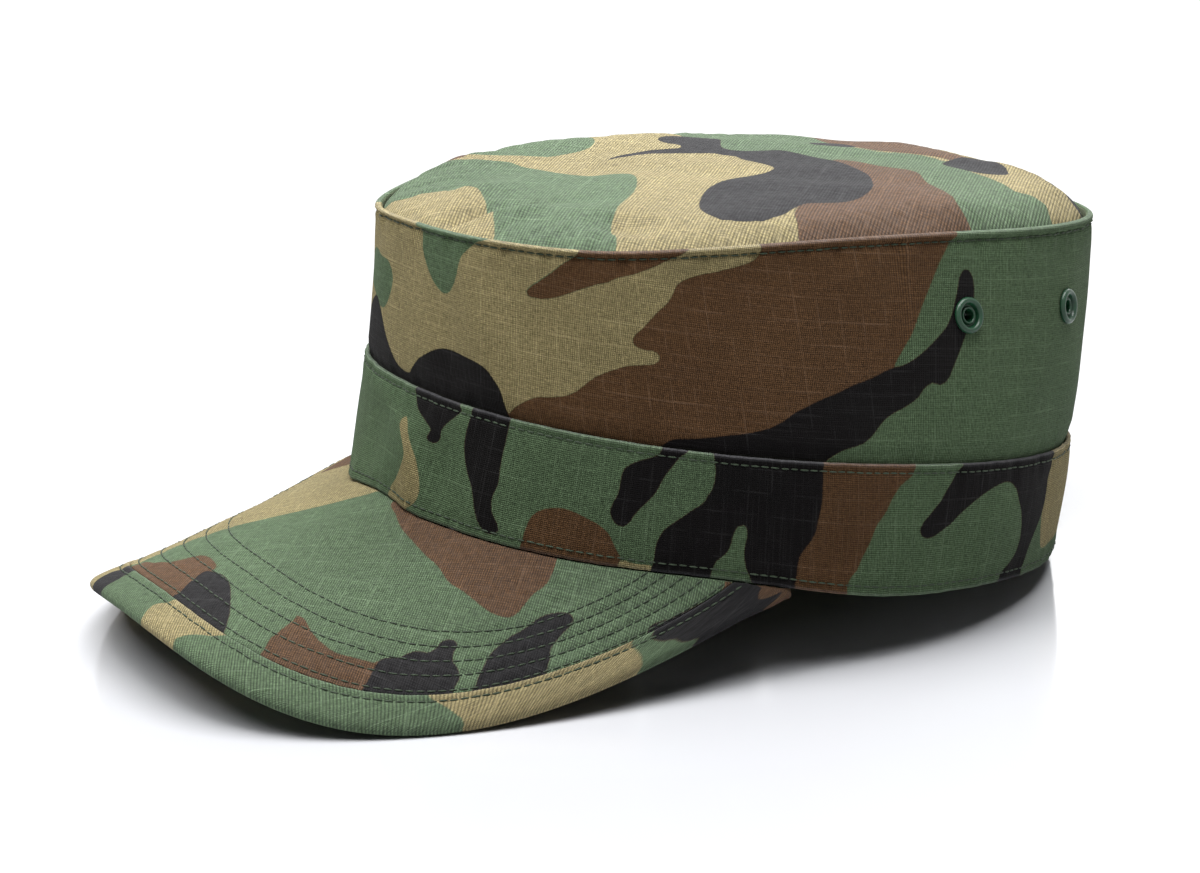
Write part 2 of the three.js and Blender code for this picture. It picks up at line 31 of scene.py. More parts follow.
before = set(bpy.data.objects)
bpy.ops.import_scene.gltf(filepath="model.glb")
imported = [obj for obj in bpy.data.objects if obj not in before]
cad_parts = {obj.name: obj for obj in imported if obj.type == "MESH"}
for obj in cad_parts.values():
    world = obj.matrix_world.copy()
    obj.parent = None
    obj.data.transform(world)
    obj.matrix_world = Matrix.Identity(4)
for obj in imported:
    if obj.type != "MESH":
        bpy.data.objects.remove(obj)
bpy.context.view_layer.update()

MM = 0.001

# Camera, at the photograph's viewing angle

CAMERA_TURN, CAMERA_RISE, CAMERA_DISTANCE = 57.5, 17.0, 797.0
CAMERA_AIM = {"right": -29.5, "up": 17.5, "from": (0.0, 31.027, 17.403)}
CAMERA_LENS, CAMERA_SENSOR = 84.38, 36.0


def place_camera():
    turn, rise = math.radians(CAMERA_TURN), math.radians(CAMERA_RISE)
    back = Vector((math.sin(turn) * math.cos(rise), -math.cos(turn) * math.cos(rise), math.sin(rise)))
    right = Vector((math.cos(turn), math.sin(turn), 0))
    up = back.cross(right)
    aim = Vector(CAMERA_AIM["from"]) + right * CAMERA_AIM["right"] + up * CAMERA_AIM["up"]
    data = bpy.data.cameras.new("camera")
    data.sensor_fit = "HORIZONTAL"
    data.sensor_width = CAMERA_SENSOR
    data.lens = CAMERA_LENS
    data.clip_start, data.clip_end = 0.01, 20
    camera = bpy.data.objects.new("camera", data)
    bpy.context.scene.collection.objects.link(camera)
    camera.matrix_world = Matrix.Translation((aim + back * CAMERA_DISTANCE) * MM) @ Matrix(
        (right, up, back)).transposed().to_4x4()
    bpy.context.scene.camera = camera


place_camera()

# Sizes of the cap, as its solids have them

RINGS = {
    "foot": {"long": 103.5, "wide": 90.5, "back": 0.0, "square": 2.02, "height": 0.0, "slope": 0.0,
             "rise": 0.0},
    "head": {"long": 100.4, "wide": 87.0, "back": -0.5, "square": 2.2, "height": 32.8, "slope": 0.004,
             "rise": 0.0},
    "rim": {"long": 101.8, "wide": 70.5, "back": -2.9, "square": 2.55, "height": 87.0, "slope": 0.096,
            "rise": 1.6},
}
REAR_FULLNESS = 0.023
BAND_HEIGHT = RINGS["head"]["height"]
WALL_HEIGHT = RINGS["rim"]["height"] - BAND_HEIGHT
CROWN_WALL, BAND_WALL, SEAM_GAP = 1.6, 2.3, 0.3
WALL_SWELL, BAND_SWELL, BAND_PROUD, WALL_TUCK, TUCK_INSET = 1.7, 0.8, 0.5, 4.0, 1.1

DOME_HEIGHT, DOME_REAR, DOME_SPREAD, DOME_SHOULDER, DOME_FOOT = 9.5, 0.35, 4.0, 0.5, 1.2
TOP_INSET = CROWN_WALL + SEAM_GAP + 0.05
TOP_SKIRT = 1.1
TOP_SEAM_DEPTH, TOP_SEAM_SPREAD = 1.8, 5.0
FAR_FRONT, FAR_FRONT_SPREAD, FAR_FRONT_PUFF, FAR_WELT_SHIFT = -38, 32, 1.2, 30

PEAK_END, PEAK_SPREAD, PEAK_REACH, PEAK_SQUARENESS = 72.0, 1.3, 142.2, 2.6
PEAK_FRONT_DROP, PEAK_SIDE_DROP, PEAK_SIDE_SHARE = 26.0, 68.5, 1.82
PEAK_SAG, PEAK_FAR_SAG, PEAK_SAG_LENGTH, PEAK_THICKNESS, PEAK_TONGUE = 2.7, -0.8, 70.0, 2.6, 0.8
# The sag along a line from rim to seam is share * (1 - share) squared, scaled to 1 at its deepest
SAG_SCALE = 27 / 4
TONGUE_END, TONGUE_RUNOUT = 54.0, 10.0
BINDING_WIDTH, BINDING_CLOTH, BINDING_NOSE, BINDING_FLUSH_RUN = 11.5, 1.0, 1.25, 4.0
MIN_LEDGE, BUTT_GAP = 0.25, 0.4

EYELETS = {"left_front": 98.0, "left_rear": 123.5, "right_front": -98.0, "right_rear": -123.5}
EYELET_LEVEL, EYELET_HOLE_IN_CLOTH, EYELET_TURN, EYELET_RISE = 0.64, 3.4, 2.5, 0.06

LEAN_BACK = math.radians(9.4)
ON_TABLE = (0.0, 31.027, 17.403)

# Soft folds: around in degrees, level on the panel, lean, width, span, depth in millimetres, outward positive
WALL_FOLDS = [
    (9, 0.35, -6, 5, 0.45, -0.8), (21, 0.6, 0, 8, 0.5, 0.6), (62, 0.7, 10, 14, 0.4, -0.7),
    (122, 0.9, 0, 5, 0.1, -0.8), (150, 0.42, -10, 12, 0.18, -1.0), (-35, 0.5, 6, 12, 0.5, -0.8),
    (-100, 0.6, -6, 12, 0.5, -0.9), (-150, 0.4, 8, 10, 0.5, 0.8),
]
BAND_FOLDS = [
    (5, 0.4, -9, 4.5, 0.5, 1.8), (13, 0.3, -8, 5, 0.4, -1.5), (-8, 0.55, 0, 5, 0.5, -0.9),
    (-16, 0.4, 0, 7, 0.4, -0.7), (-16, 0, 0, 6, 0.14, 1.4), (66, 0.2, -4, 7, 0.5, -0.6),
    (104, 0.4, 4, 9, 0.5, 0.6),
]
# Dents and puffs of the top: across, along, turn, length, width, depth
TOP_FOLDS = [
    (7, -92, 20, 14, 4, -4.0), (-8, -86, -25, 14, 6, 2.2), (16, -84, 20, 10, 5, 1.6),
    (40, -68, 60, 10, 6, -2.8), (64, 6, 10, 10, 5, -1.8), (62, 20, -20, 12, 6, 1.2),
    (-50, -66, -55, 22, 9, 2.4), (5, 76, 80, 30, 14, 1.0), (-58, -22, 0, 34, 18, 1.6),
    (-42, 52, 30, 26, 16, -0.8), (-55, 50, 50, 14, 8, -1.2),
]
# Where a ring leaves its plane: around, spread, lift
RING_WAVES = {
    "foot": [(58, 14, 1.0), (-58, 14, 1.0), (88, 14, -1.5), (-88, 14, -1.5), (-2, 10, 2.0), (-33, 13, -2.2),
             (180, 38, -1.1)],
    "head": [],
    "rim": [(45, 16, -0.9), (88, 18, 0.9), (-28, 22, -2.6), (-48, 14, -1.3)],
}

# The cap's surfaces


def bell(distance, spread):
    return np.exp(-((distance / spread) ** 2))


def smoothstep(x, low, high):
    t = np.clip((x - low) / (high - low), 0, 1)
    return t * t * (3 - 2 * t)


def turn_between(a, b):
    return (a - b + 540) % 360 - 180


def signed_power(value, power):
    return np.sign(value) * np.abs(value) ** power


def ring_point(name, angle, inset=0.0):
    """A point of a ring, inset towards the middle."""
    ring = RINGS[name]
    sine, cosine = np.sin(np.radians(angle)), np.cos(np.radians(angle))
    power = 2 / ring["square"]
    along = -(ring["long"] - inset) * signed_power(cosine, power)
    fullness = 1 + REAR_FULLNESS * along / (ring["long"] - inset)
    across = (ring["wide"] - inset) * signed_power(sine, power) * fullness
    y = along + ring["back"]
    lift = -ring["rise"] * np.cos(2 * np.radians(angle))
    for around, spread, rise in RING_WAVES[name]:
        lift = lift + rise * bell(turn_between(angle, around), spread)
    return np.stack(np.broadcast_arrays(across, y, ring["height"] + ring["slope"] * y + lift), -1)


def ring_outward(name, angle):
    """Level direction pointing out of a ring."""
    step = ring_point(name, angle + 1) - ring_point(name, angle - 1)
    outward = np.stack([step[..., 1], -step[..., 0], 0 * step[..., 0]], -1)
    return outward / np.linalg.norm(outward, axis=-1, keepdims=True)


def fold_depth(folds, angle, level):
    total = 0 * angle * level
    for around, at, lean, width, span, depth in folds:
        centre = around + lean * (level - at)
        total = total + depth * bell(turn_between(angle, centre), width) * bell(level - at, span)
    return total


def rear_swell(angle, level):
    return np.sin(np.pi * np.clip(level, 0, 1)) * (1 - np.cos(np.radians(angle))) / 2


def wall_point(lower, upper, angle, level, inset, swell):
    low, high = ring_point(lower, angle, inset), ring_point(upper, angle, inset)
    level = np.asarray(level, float)[..., None]
    return low + (high - low) * level + ring_outward(lower, angle) * np.asarray(swell, float)[..., None]


def ripple(u, v, waves):
    """Small irregular waves of cloth: each is a length along u, a length along v, a phase and a height."""
    return sum(height * np.sin(2 * np.pi * (u / long + v / wide) + phase)
               for long, wide, phase, height in waves)


# Slow waves over a whole panel, and the short puckers that a sewn row draws into the cloth
SLOW_WAVES = [(61, 47, 0.4, 0.16), (37, -58, 1.9, 0.12), (23, 90, 4.1, 0.08), (-29, 33, 2.6, 0.08)]
PUCKERS = [(7.3, 90, 0.2, 0.5), (11.9, -60, 2.2, 0.4), (4.6, 70, 5.1, 0.25), (19, 120, 1.1, 0.35)]


def arc_table(curve, angles):
    """Length along a curve from angle 0, for each angle of a table."""
    points = curve(angles)
    lengths = np.concatenate([[0], np.cumsum(np.linalg.norm(np.diff(points, axis=0), axis=1))])
    return lengths - np.interp(0, angles, lengths)


ROUND_TABLE = np.linspace(-180, 180, 3601)
ROUND_ARC = arc_table(lambda angle: ring_point("head", angle), ROUND_TABLE)
ROUND_LENGTH = ROUND_ARC[-1] - ROUND_ARC[0]


def crown_wall_point(angle, height, inset):
    """A point of the crown wall at a height over its foot; below 0 it is tucked into the band."""
    level = height / WALL_HEIGHT
    fade = smoothstep(level, 0, 0.15) * (1 - smoothstep(level, 0.88, 0.96))
    swell = WALL_SWELL * rear_swell(angle, level) + fold_depth(WALL_FOLDS, angle, level) * fade
    above = wall_point("head", "rim", angle, level, inset, swell)
    below = wall_point("foot", "head", angle, 1 + height / BAND_HEIGHT, inset, 0 * level)
    return np.where((level < 0)[..., None], below, above)


def band_point(angle, height, inset):
    level = height / BAND_HEIGHT
    folds = fold_depth(BAND_FOLDS, angle, level) * (1 - smoothstep(level, 0.62, 0.84))
    swell = BAND_SWELL * rear_swell(angle, level) + BAND_PROUD * level
    return wall_point("foot", "head", angle, level, inset, swell + folds)


def top_fold(x, y):
    total = 0 * x
    for across, along, turn, length, width, depth in TOP_FOLDS:
        dx, dy, t = x - across, y - along, np.radians(turn)
        lengthwise, crosswise = dx * np.sin(t) + dy * np.cos(t), dx * np.cos(t) - dy * np.sin(t)
        total = total + depth * bell(lengthwise, length) * bell(crosswise, width)
    return total


def top_point(angle, reach):
    """A point of the top: reach 1 is its edge, 0 its middle."""
    edge, ring = ring_point("rim", angle, TOP_INSET), RINGS["rim"]
    x = edge[..., 0] * reach
    y = ring["back"] + (edge[..., 1] - ring["back"]) * reach
    edge_lift = edge[..., 2] - ring["height"] - ring["slope"] * edge[..., 1]
    plane = ring["height"] - DOME_FOOT + ring["slope"] * y + edge_lift * reach ** 2
    height = DOME_HEIGHT * (1 + DOME_REAR * (y - ring["back"]) / ring["long"])
    dome = height * np.maximum(1 - reach ** DOME_SPREAD, 0) ** DOME_SHOULDER
    # The seam draws the cloth down along the rim
    far_front = bell(turn_between(angle, FAR_FRONT), FAR_FRONT_SPREAD)
    seam = TOP_SEAM_DEPTH * (1 - far_front) * bell((1 - reach) * ring["wide"], TOP_SEAM_SPREAD)
    puff = FAR_FRONT_PUFF * far_front * smoothstep(1 - reach, 0, 0.035) * reach ** 8
    return np.stack([x, y, plane + dome + top_fold(x, y) * (1 - reach ** 24) - seam + puff], -1)


def peak_rim(angle):
    """The rim of the peak, seen from above an oval whose ends meet the foot of the band."""
    end = ring_point("foot", np.array(PEAK_END))
    share = signed_power(np.clip(angle / PEAK_END, -1, 1), PEAK_SPREAD)
    sine = np.sin(share * np.pi / 2)
    forward = np.maximum(np.cos(share * np.pi / 2), 0) ** (2 / PEAK_SQUARENESS)
    drop = PEAK_FRONT_DROP + (PEAK_SIDE_DROP - PEAK_FRONT_DROP) * np.abs(sine) ** PEAK_SIDE_SHARE
    x = end[0] * signed_power(sine, 2 / PEAK_SQUARENESS)
    return np.stack([x, end[1] - PEAK_REACH * forward, end[2] - SEAM_GAP - drop * forward], -1)


def peak_width(angle):
    """Width of the peak at an angle, measured square to its rim."""
    near = np.clip(angle, -PEAK_END + 1, PEAK_END - 1)
    tangent = peak_rim(near + 0.5) - peak_rim(near - 0.5)
    tangent = tangent / np.linalg.norm(tangent, axis=-1, keepdims=True)
    seam = ring_point("foot", angle) - np.array([0, 0, SEAM_GAP])
    return np.linalg.norm(np.cross(peak_rim(angle) - seam, tangent), axis=-1)


def peak_face(angle, inward):
    """The upper face of the peak, inward from its rim; past the seam it lies level under the band."""
    width = peak_width(angle)
    seam = ring_point("foot", angle) - np.array([0, 0, SEAM_GAP])
    rim = peak_rim(angle)
    share = 1 - np.minimum(inward / np.maximum(width, 1e-6), 1)
    face = seam + (rim - seam) * share[..., None]
    length = np.linalg.norm(rim - seam, axis=-1)
    sag = PEAK_SAG * (1 - smoothstep(-angle, 0, 30)) + PEAK_FAR_SAG * smoothstep(-angle, 0, 30)
    face[..., 2] -= sag * SAG_SCALE * share * (1 - share) ** 2 * length / PEAK_SAG_LENGTH
    under = ring_point("foot", angle, np.clip(inward - width, 0, BAND_WALL))
    under[..., 2] = seam[..., 2]
    return np.where((inward > width)[..., None], under, face)


def peak_up(angle):
    """Direction square to the peak's face halfway between rim and seam."""
    inside = np.clip(angle, -PEAK_END + 6, PEAK_END - 6)
    half = peak_width(inside) / 2
    along = peak_face(inside + 0.5, half) - peak_face(inside - 0.5, half)
    across = peak_face(inside, half + 0.5) - peak_face(inside, half - 0.5)
    up = np.cross(along, across)
    up = up * np.sign(up[..., 2:3])
    return up / np.linalg.norm(up, axis=-1, keepdims=True)


def peak_point(angle, inward, lift):
    width = peak_width(angle)
    turned = smoothstep(inward, width - 2, width)[..., None]
    up = peak_up(angle) * (1 - turned) + np.array([0, 0, 1]) * turned
    up = up / np.linalg.norm(up, axis=-1, keepdims=True)
    return peak_face(angle, inward) + up * lift[..., None]


def to_row(points):
    """From the cap's own frame to the row frame in metres, pressed flat where it meets the table."""
    cosine, sine = math.cos(LEAN_BACK), math.sin(LEAN_BACK)
    x, y, z = points[..., 0], points[..., 1], points[..., 2]
    row = np.stack([x, y * cosine + z * sine, z * cosine - y * sine], -1) + np.array(ON_TABLE)
    row[..., 2] = np.maximum(row[..., 2], 0.0)
    return row * MM


def smooth_run(points, per_span, closed=False):
    """A curve through points, with steps that follow how far apart they are."""
    points = np.asarray(points, float)
    if closed:
        padded = np.concatenate([points[-1:], points, points[:2]])
    else:
        padded = np.concatenate([2 * points[:1] - points[1:2], points, 2 * points[-1:] - points[-2:-1]])
    p0, p1, p2, p3 = padded[:-3], padded[1:-2], padded[2:-1], padded[3:]
    gap = lambda a, b: np.maximum(np.linalg.norm(b - a, axis=-1), 1e-6)[:, None, None] ** 0.5
    t1 = gap(p0, p1)
    t2 = t1 + gap(p1, p2)
    t3 = t2 + gap(p2, p3)
    t = t1 + (t2 - t1) * (np.arange(per_span) / per_span)[None, :, None]
    p0, p1, p2, p3 = (p[:, None, :] for p in (p0, p1, p2, p3))
    a1, a2, a3 = (p0 * (t1 - t) + p1 * t) / t1, (p1 * (t2 - t) + p2 * (t - t1)) / (t2 - t1), (
        p2 * (t3 - t) + p3 * (t - t2)) / (t3 - t2)
    b1, b2 = (a1 * (t2 - t) + a2 * t) / t2, (a2 * (t3 - t) + a3 * (t - t1)) / (t3 - t1)
    curve = ((b1 * (t2 - t) + b2 * (t - t1)) / (t2 - t1)).reshape(-1, points.shape[1])
    return curve if closed else np.concatenate([curve, points[-1:]])


# The printed camouflage: each panel has a ground colour and patches in its own millimetres, in the
# order in which the colours lie over each other

WALL_PRINT = ("tan", [
    ("brown", [(37, -3), (40.2, 3), (43.7, 6.1), (47.2, 8.4), (51.5, 9.4), (55.4, 10.6), (58.6, 12.5),
        (60.9, 14.8), (63.7, 17.4), (66.8, 19.3), (70.2, 20.9), (73.5, 22.1), (76.6, 22.6), (80.5, 23.3),
        (82, 25), (80.9, 26.6), (78.2, 26.9), (76, 27.6), (75, 29), (75.7, 30.7), (77.8, 32.6), (80.2, 35),
        (82.9, 37.7), (85.7, 40), (87.5, 42.4), (88.8, 44.7), (91.5, 46.3), (94.8, 47.2), (99, 47.8),
        (103.5, 48.6), (108, 49.6), (111, 50.5), (113, 52.5), (113.8, 57), (165, 57), (160, 30), (140, 10),
        (110, -3)]),
    ("green", [(163.8, 57), (163, 54), (159.5, 50), (156.7, 45), (154, 40), (151.6, 35), (149.4, 30),
        (146, 25), (140, 16), (128, 3), (118, -3), (262, -3), (262, 57)]),
    ("brown", [(61, 57), (62, 54), (59.3, 51.6), (57, 50.2), (53.6, 47.5), (49.8, 44.6), (46.6, 42.2),
        (45, 40.4), (45.6, 38.9), (47.8, 38.6), (50.2, 38.6), (53.5, 39.4), (56.9, 40.7), (60.2, 42.2),
        (63.7, 43.6), (67.2, 44.9), (69.9, 45.5), (72.5, 46.8), (76.2, 47.6), (79.5, 48.6), (83, 49.8),
        (87, 51.4), (90.5, 52.6), (94, 54.5), (97, 57)]),
    ("green", [(-1, 57), (0.5, 53.5), (2.3, 50.5), (3.2, 46), (4.2, 43.5), (5.6, 40.8), (8.4, 37),
        (10.9, 34.9), (13.3, 33.7), (16, 34.6), (18, 37.3), (19.5, 41), (21, 46.7), (23.5, 50),
        (26.5, 52.4), (31, 54.2), (34, 57)]),
    ("green", [(-36, 38), (-28, 40), (-21, 38.8), (-15, 38), (-12, 34.5), (-11.7, 30.5), (-13, 26.5),
        (-15, 23), (-18, 21), (-23, 23), (-29, 26), (-36, 29)]),
    ("black", [(78, -3), (82, 2.2), (87, 3.2), (92, 4.2), (97, 5.3), (101, 6), (105.4, 7.1), (109.5, 8.5),
        (112.8, 10.3), (116, 12.4), (120, 14.2), (124, 15.9), (128, 17.2), (133, 19.1), (139, 20.9),
        (142, 22.2), (144.6, 23.1), (148, 23.8), (151, 25.5), (154.2, 27.8), (156.6, 29.8), (159.4, 32.4),
        (161, 35.2), (162, 38), (162.9, 41), (163.8, 44.2), (165.6, 45.6), (167.6, 44), (168.3, 40.5),
        (167.5, 36), (166, 32), (164.3, 28.5), (162.8, 25.5), (161.2, 22.5), (160, 20.2), (157.5, 18.7),
        (155.3, 19.3), (152.7, 18), (151, 15.9), (148, 14), (144.3, 12.4), (141.5, 10.9), (139.2, 8.9),
        (136.7, 6.6), (134, 5), (129.8, 3.7), (126.6, 2.4), (123, 0), (120, -3)]),
    ("black", [(-40, -3), (-40, 10), (-32, 20), (-24, 24), (-21, 21.5), (-18.4, 18), (-15.2, 13),
        (-11.6, 8.7), (-8.3, 5.5), (-4, 3.4), (0.3, 3.6), (1.6, 5.7), (4.3, 9.4), (7.7, 12.1), (11, 14.4),
        (14.6, 15.8), (18.4, 16), (22.6, 15.5), (26.5, 15), (29.9, 14.3), (32.7, 12.7), (34.6, 10.6),
        (36.3, 8.5), (37.4, 5.6), (38, 2.5), (38.2, -3)]),
])

BAND_PRINT = ("green", [
    ("brown", [(48.4, -3), (48.6, 0.6), (48.8, 2.8), (49.2, 6.3), (50.1, 9.3), (51.9, 11.2), (54.5, 12.4),
        (57.6, 13), (60.6, 12.6), (63.8, 11.6), (66.8, 10.4), (68.8, 9), (70, 7.4), (71, 5.4), (72.2, 3.4),
        (73.2, 1.4), (74, -3)]),
    ("tan", [(72.6, 1.8), (76, 1.5), (80.6, 1.2), (80.6, -3), (73, -3)]),
    ("brown", [(118, 36), (151, 36), (149.8, 32.7), (148.9, 30.4), (147.3, 29.3), (145.2, 27.8),
        (143.7, 25.8), (142.1, 23.5), (140.9, 21.2), (139.3, 19.4), (137.8, 17.5), (136.7, 14.8),
        (135.3, 12.1), (133.8, 9.4), (132.6, 6.6), (130.8, 4.4), (130, 1.8), (130, -3), (112, -3)]),
    ("black", [(92.8, 36), (93, 31.6), (93.5, 28.3), (93.1, 24), (91.6, 21), (91.2, 19.9), (88.9, 17.9),
        (86.6, 15.8), (84.3, 13.7), (82.3, 11.7), (81.2, 9.5), (80.5, 6.6), (80.4, 3.2), (80.3, -3),
        (115, -3), (115.2, 1.1), (115.6, 3.9), (115.7, 6.3), (116.2, 8.8), (117.5, 11), (119.1, 13.2),
        (120.1, 15.4), (120.7, 18.8), (121.4, 22.3), (121.6, 26.3), (121.7, 30.4), (121.2, 36)]),
    ("green", [(93.4, -3), (93.8, 0.4), (94.3, 2.6), (95.2, 4.9), (97, 6.6), (98.2, 8.8), (98.8, 11.7),
        (99.5, 13.9), (100.8, 15), (102, 14.6), (102.4, 12.1), (101.9, 9.2), (102, 6.3), (102.6, 3.6),
        (103.5, 1.6), (104.5, -3)]),
    ("black", [(80, 36), (79.9, 33), (79.3, 31.1), (77.4, 29.8), (74.9, 28.8), (72.5, 27.3), (71, 25.6),
        (70.6, 22.5), (70.4, 19.4), (69.5, 16.8), (69, 14.6), (69.8, 12.4), (71.3, 11), (72.9, 11.1),
        (74, 12.6), (75, 14.8), (76.6, 17.1), (78.2, 19.2), (79.6, 21.6), (80.9, 25.2), (82.3, 27.6),
        (84.5, 31), (86.5, 33), (88, 36)]),
    ("black", [(4.6, 36), (5, 32), (6, 30), (7.8, 27.5), (11.3, 25.7), (14.1, 24.3), (15, 23.4), (14, 21.6),
        (14.6, 20.5), (16.9, 20.3), (18.6, 22), (18.6, 24.1), (19.5, 25.8), (21.3, 27.9), (23.2, 29.6),
        (24.3, 31.3), (23.2, 33), (22.8, 36)]),
    ("black", [(28, 36), (27.9, 31.6), (27.1, 25.4), (27.4, 21.9), (28.6, 18.7), (30.3, 15.6), (32.1, 13.2),
        (33.6, 10), (34.8, 6.9), (36.5, 3.8), (38.8, 2.1), (41, 2.1), (42.2, 3.2), (41.6, 5.1), (40.1, 7.2),
        (39.2, 9.4), (39.1, 12.2), (39.9, 15.2), (39.7, 19.4), (39.6, 22.9), (39.8, 27.1), (39.8, 30.6),
        (39.3, 36)]),
    ("tan", [(3.6, 24.2), (2.1, 22.2), (3.8, 19.9), (6.3, 17.5), (8.2, 14.3), (7.5, 11), (5.3, 7.2),
        (2.8, 3.8), (1.2, 0.8), (0.5, -3), (10, -3), (12.5, 0.5), (15.2, 3.4), (16, 5.8), (15.6, 8.2),
        (14.1, 11.8), (12.4, 14.9), (10, 17.7), (7.6, 20.5), (5.6, 23)]),
    ("black", [(167, 36), (166.2, 32.7), (164.8, 31), (162.8, 28.9), (160.8, 26.3), (159.4, 24),
        (157.4, 22), (155.4, 20.1), (153.3, 18), (152.9, 16.4), (154.1, 15), (156.3, 14.6), (158.6, 15.1),
        (161.7, 16.7), (164, 17.8), (165.8, 19.4), (169.7, 22), (172.5, 23.6), (175.9, 25.2), (179.5, 26.4),
        (183.4, 27.3), (186.5, 26.9), (188.9, 25.1), (190.5, 22), (192.5, 19), (194.3, 14.4), (194.8, 10.6),
        (194, 7.1), (192, 5.1), (189.7, 3.2), (188, 0.5), (187.5, -3), (199, -3), (199.4, 3), (201.2, 8.3),
        (203.1, 11.7), (205, 14.3), (206.7, 17), (207.9, 19.8), (208.3, 23.4), (208.4, 26.3), (210, 29.6),
        (212.5, 33), (213, 36)]),
    ("tan", [(212, 36), (210, 30), (208.4, 26), (208.3, 23), (207.9, 19.8), (206.7, 17), (207.2, 13),
        (208.5, 9.5), (211, 6.3), (218, 6.5), (232, 8), (250, 7), (262, 10), (258, 24), (262, 36)]),
])

TOP_PRINT = ("tan", [
    ("green", [(-46.3, -65.3), (-44.3, -61.9), (-40.9, -58.5), (-37.7, -55.8), (-31.6, -54.8),
        (-26.7, -52.9), (-19.3, -51.3), (-13.1, -48.9), (-9.3, -46.9), (-8.3, -42.7), (-6.9, -39.6),
        (-3.9, -38.3), (1.8, -40.1), (8.7, -44.1), (16.3, -49.9), (21.6, -55.2), (25.2, -59), (30.7, -64.4),
        (38.3, -70.4), (44.5, -73), (50, -76), (60, -84), (40, -112), (-40, -112), (-70, -85), (-56, -70)]),
    ("brown", [(-75, -82), (-56, -72), (-50, -66), (-52, -61), (-60, -60), (-75, -64)]),
    ("green", [(-75, -62), (-54, -60), (-48.3, -56.5), (-44.1, -51.9), (-39.5, -47.5), (-36.9, -43.2),
        (-38.2, -37), (-39.8, -31.1), (-42.1, -26.5), (-47, -22.4), (-56, -19), (-75, -18)]),
    ("tan", [(-34, -100), (-29.3, -95.8), (-27.5, -94.3), (-25.8, -91.6), (-26, -89.3), (-23.9, -87),
        (-20.8, -85.3), (-16.7, -85.3), (-12.5, -86.2), (-9.4, -84.5), (-6.1, -83.7), (-0.7, -84.9),
        (5.4, -87.2), (11.5, -89.7), (17.3, -92.4), (22, -94.6), (26, -97), (30, -102), (0, -112),
        (-30, -108)]),
    ("green", [(-75, 14), (-46, 8), (-34, 10), (-20, 4), (0, 20), (30, 25), (64, 15), (80, 22), (80, 57),
        (60, 57.5), (56, 58.5), (53.8, 58.8), (50.3, 57.6), (48, 53.5), (40, 55.3), (33, 56), (28.9, 55.4),
        (22, 55), (13.8, 57.6), (7.4, 58.8), (2.3, 55.7), (-1.5, 51.7), (-5.4, 48.4), (-9.9, 47.5),
        (-18, 46), (-30, 47), (-48, 50), (-75, 52)]),
    ("brown", [(-0.6, 28.9), (4, 31.3), (12.1, 32.8), (17.3, 34.6), (22, 35.9), (27.8, 35.1), (36.9, 30.6),
        (45, 28.5), (53.6, 25.5), (60.5, 22.8), (66, 23), (75, 25), (80, -36), (70, -34), (64, -31),
        (60, -29), (56, -27), (48, -18), (40, 0), (20, 10)]),
    ("brown", [(-40, 50), (-18, 48), (-6, 50), (0, 54), (5, 60), (10, 64), (2, 72), (-20, 76), (-50, 70)]),
    ("black", [(-23.3, -32.9), (-26.1, -28.1), (-28.1, -21.7), (-29.4, -15.1), (-29, -9.5), (-29.5, -4.5),
        (-33, -3), (-36.1, -5.1), (-41.8, -4.2), (-45.7, -0.4), (-46.4, 6), (-42.9, 12), (-38.7, 15),
        (-33.8, 12), (-27, 8.2), (-22, 9.4), (-17.9, 14.3), (-16, 19.6), (-10.5, 22.5), (-5.2, 24.6),
        (0.1, 26.4), (7.1, 25.9), (16, 24), (24.1, 21.1), (33.2, 15.4), (41.7, 8.6), (46, 3), (49.1, -3.1),
        (50.2, -7.7), (49.8, -14.7), (49.7, -18.8), (52.1, -24.3), (55.7, -30.5), (57.5, -36), (56.6, -40),
        (52.5, -46.1), (47.8, -47.3), (42, -45.9), (35.7, -42.4), (28.1, -36.4), (21.7, -30.2),
        (16.5, -22.4), (13.2, -15.4), (11.9, -9), (10.7, -3.5), (7.3, 1.4), (0.9, 2.8), (-4, 2.7),
        (-8.8, 2.4), (-14.4, 3.7), (-17.7, 2.5), (-21.4, 1.3), (-23, -3.4), (-24, -8.5), (-24.5, -12.7),
        (-25.4, -17.8), (-24.2, -24.4), (-23.6, -29.8)]),
    ("black", [(-20.5, 35.5), (-18, 40), (-16, 45), (-18, 49), (-26, 50), (-29, 45), (-26, 38)]),
    ("black", [(12, 57), (8, 64), (5, 73), (9.5, 77), (17.4, 75), (24, 71), (27.7, 67.8), (29.5, 61.5),
        (27, 56.5), (22, 54.5), (16, 55)]),
    ("black", [(28, 84), (36, 81), (43, 80), (50, 82), (56, 84), (60, 100), (20, 105), (22, 92)]),
])

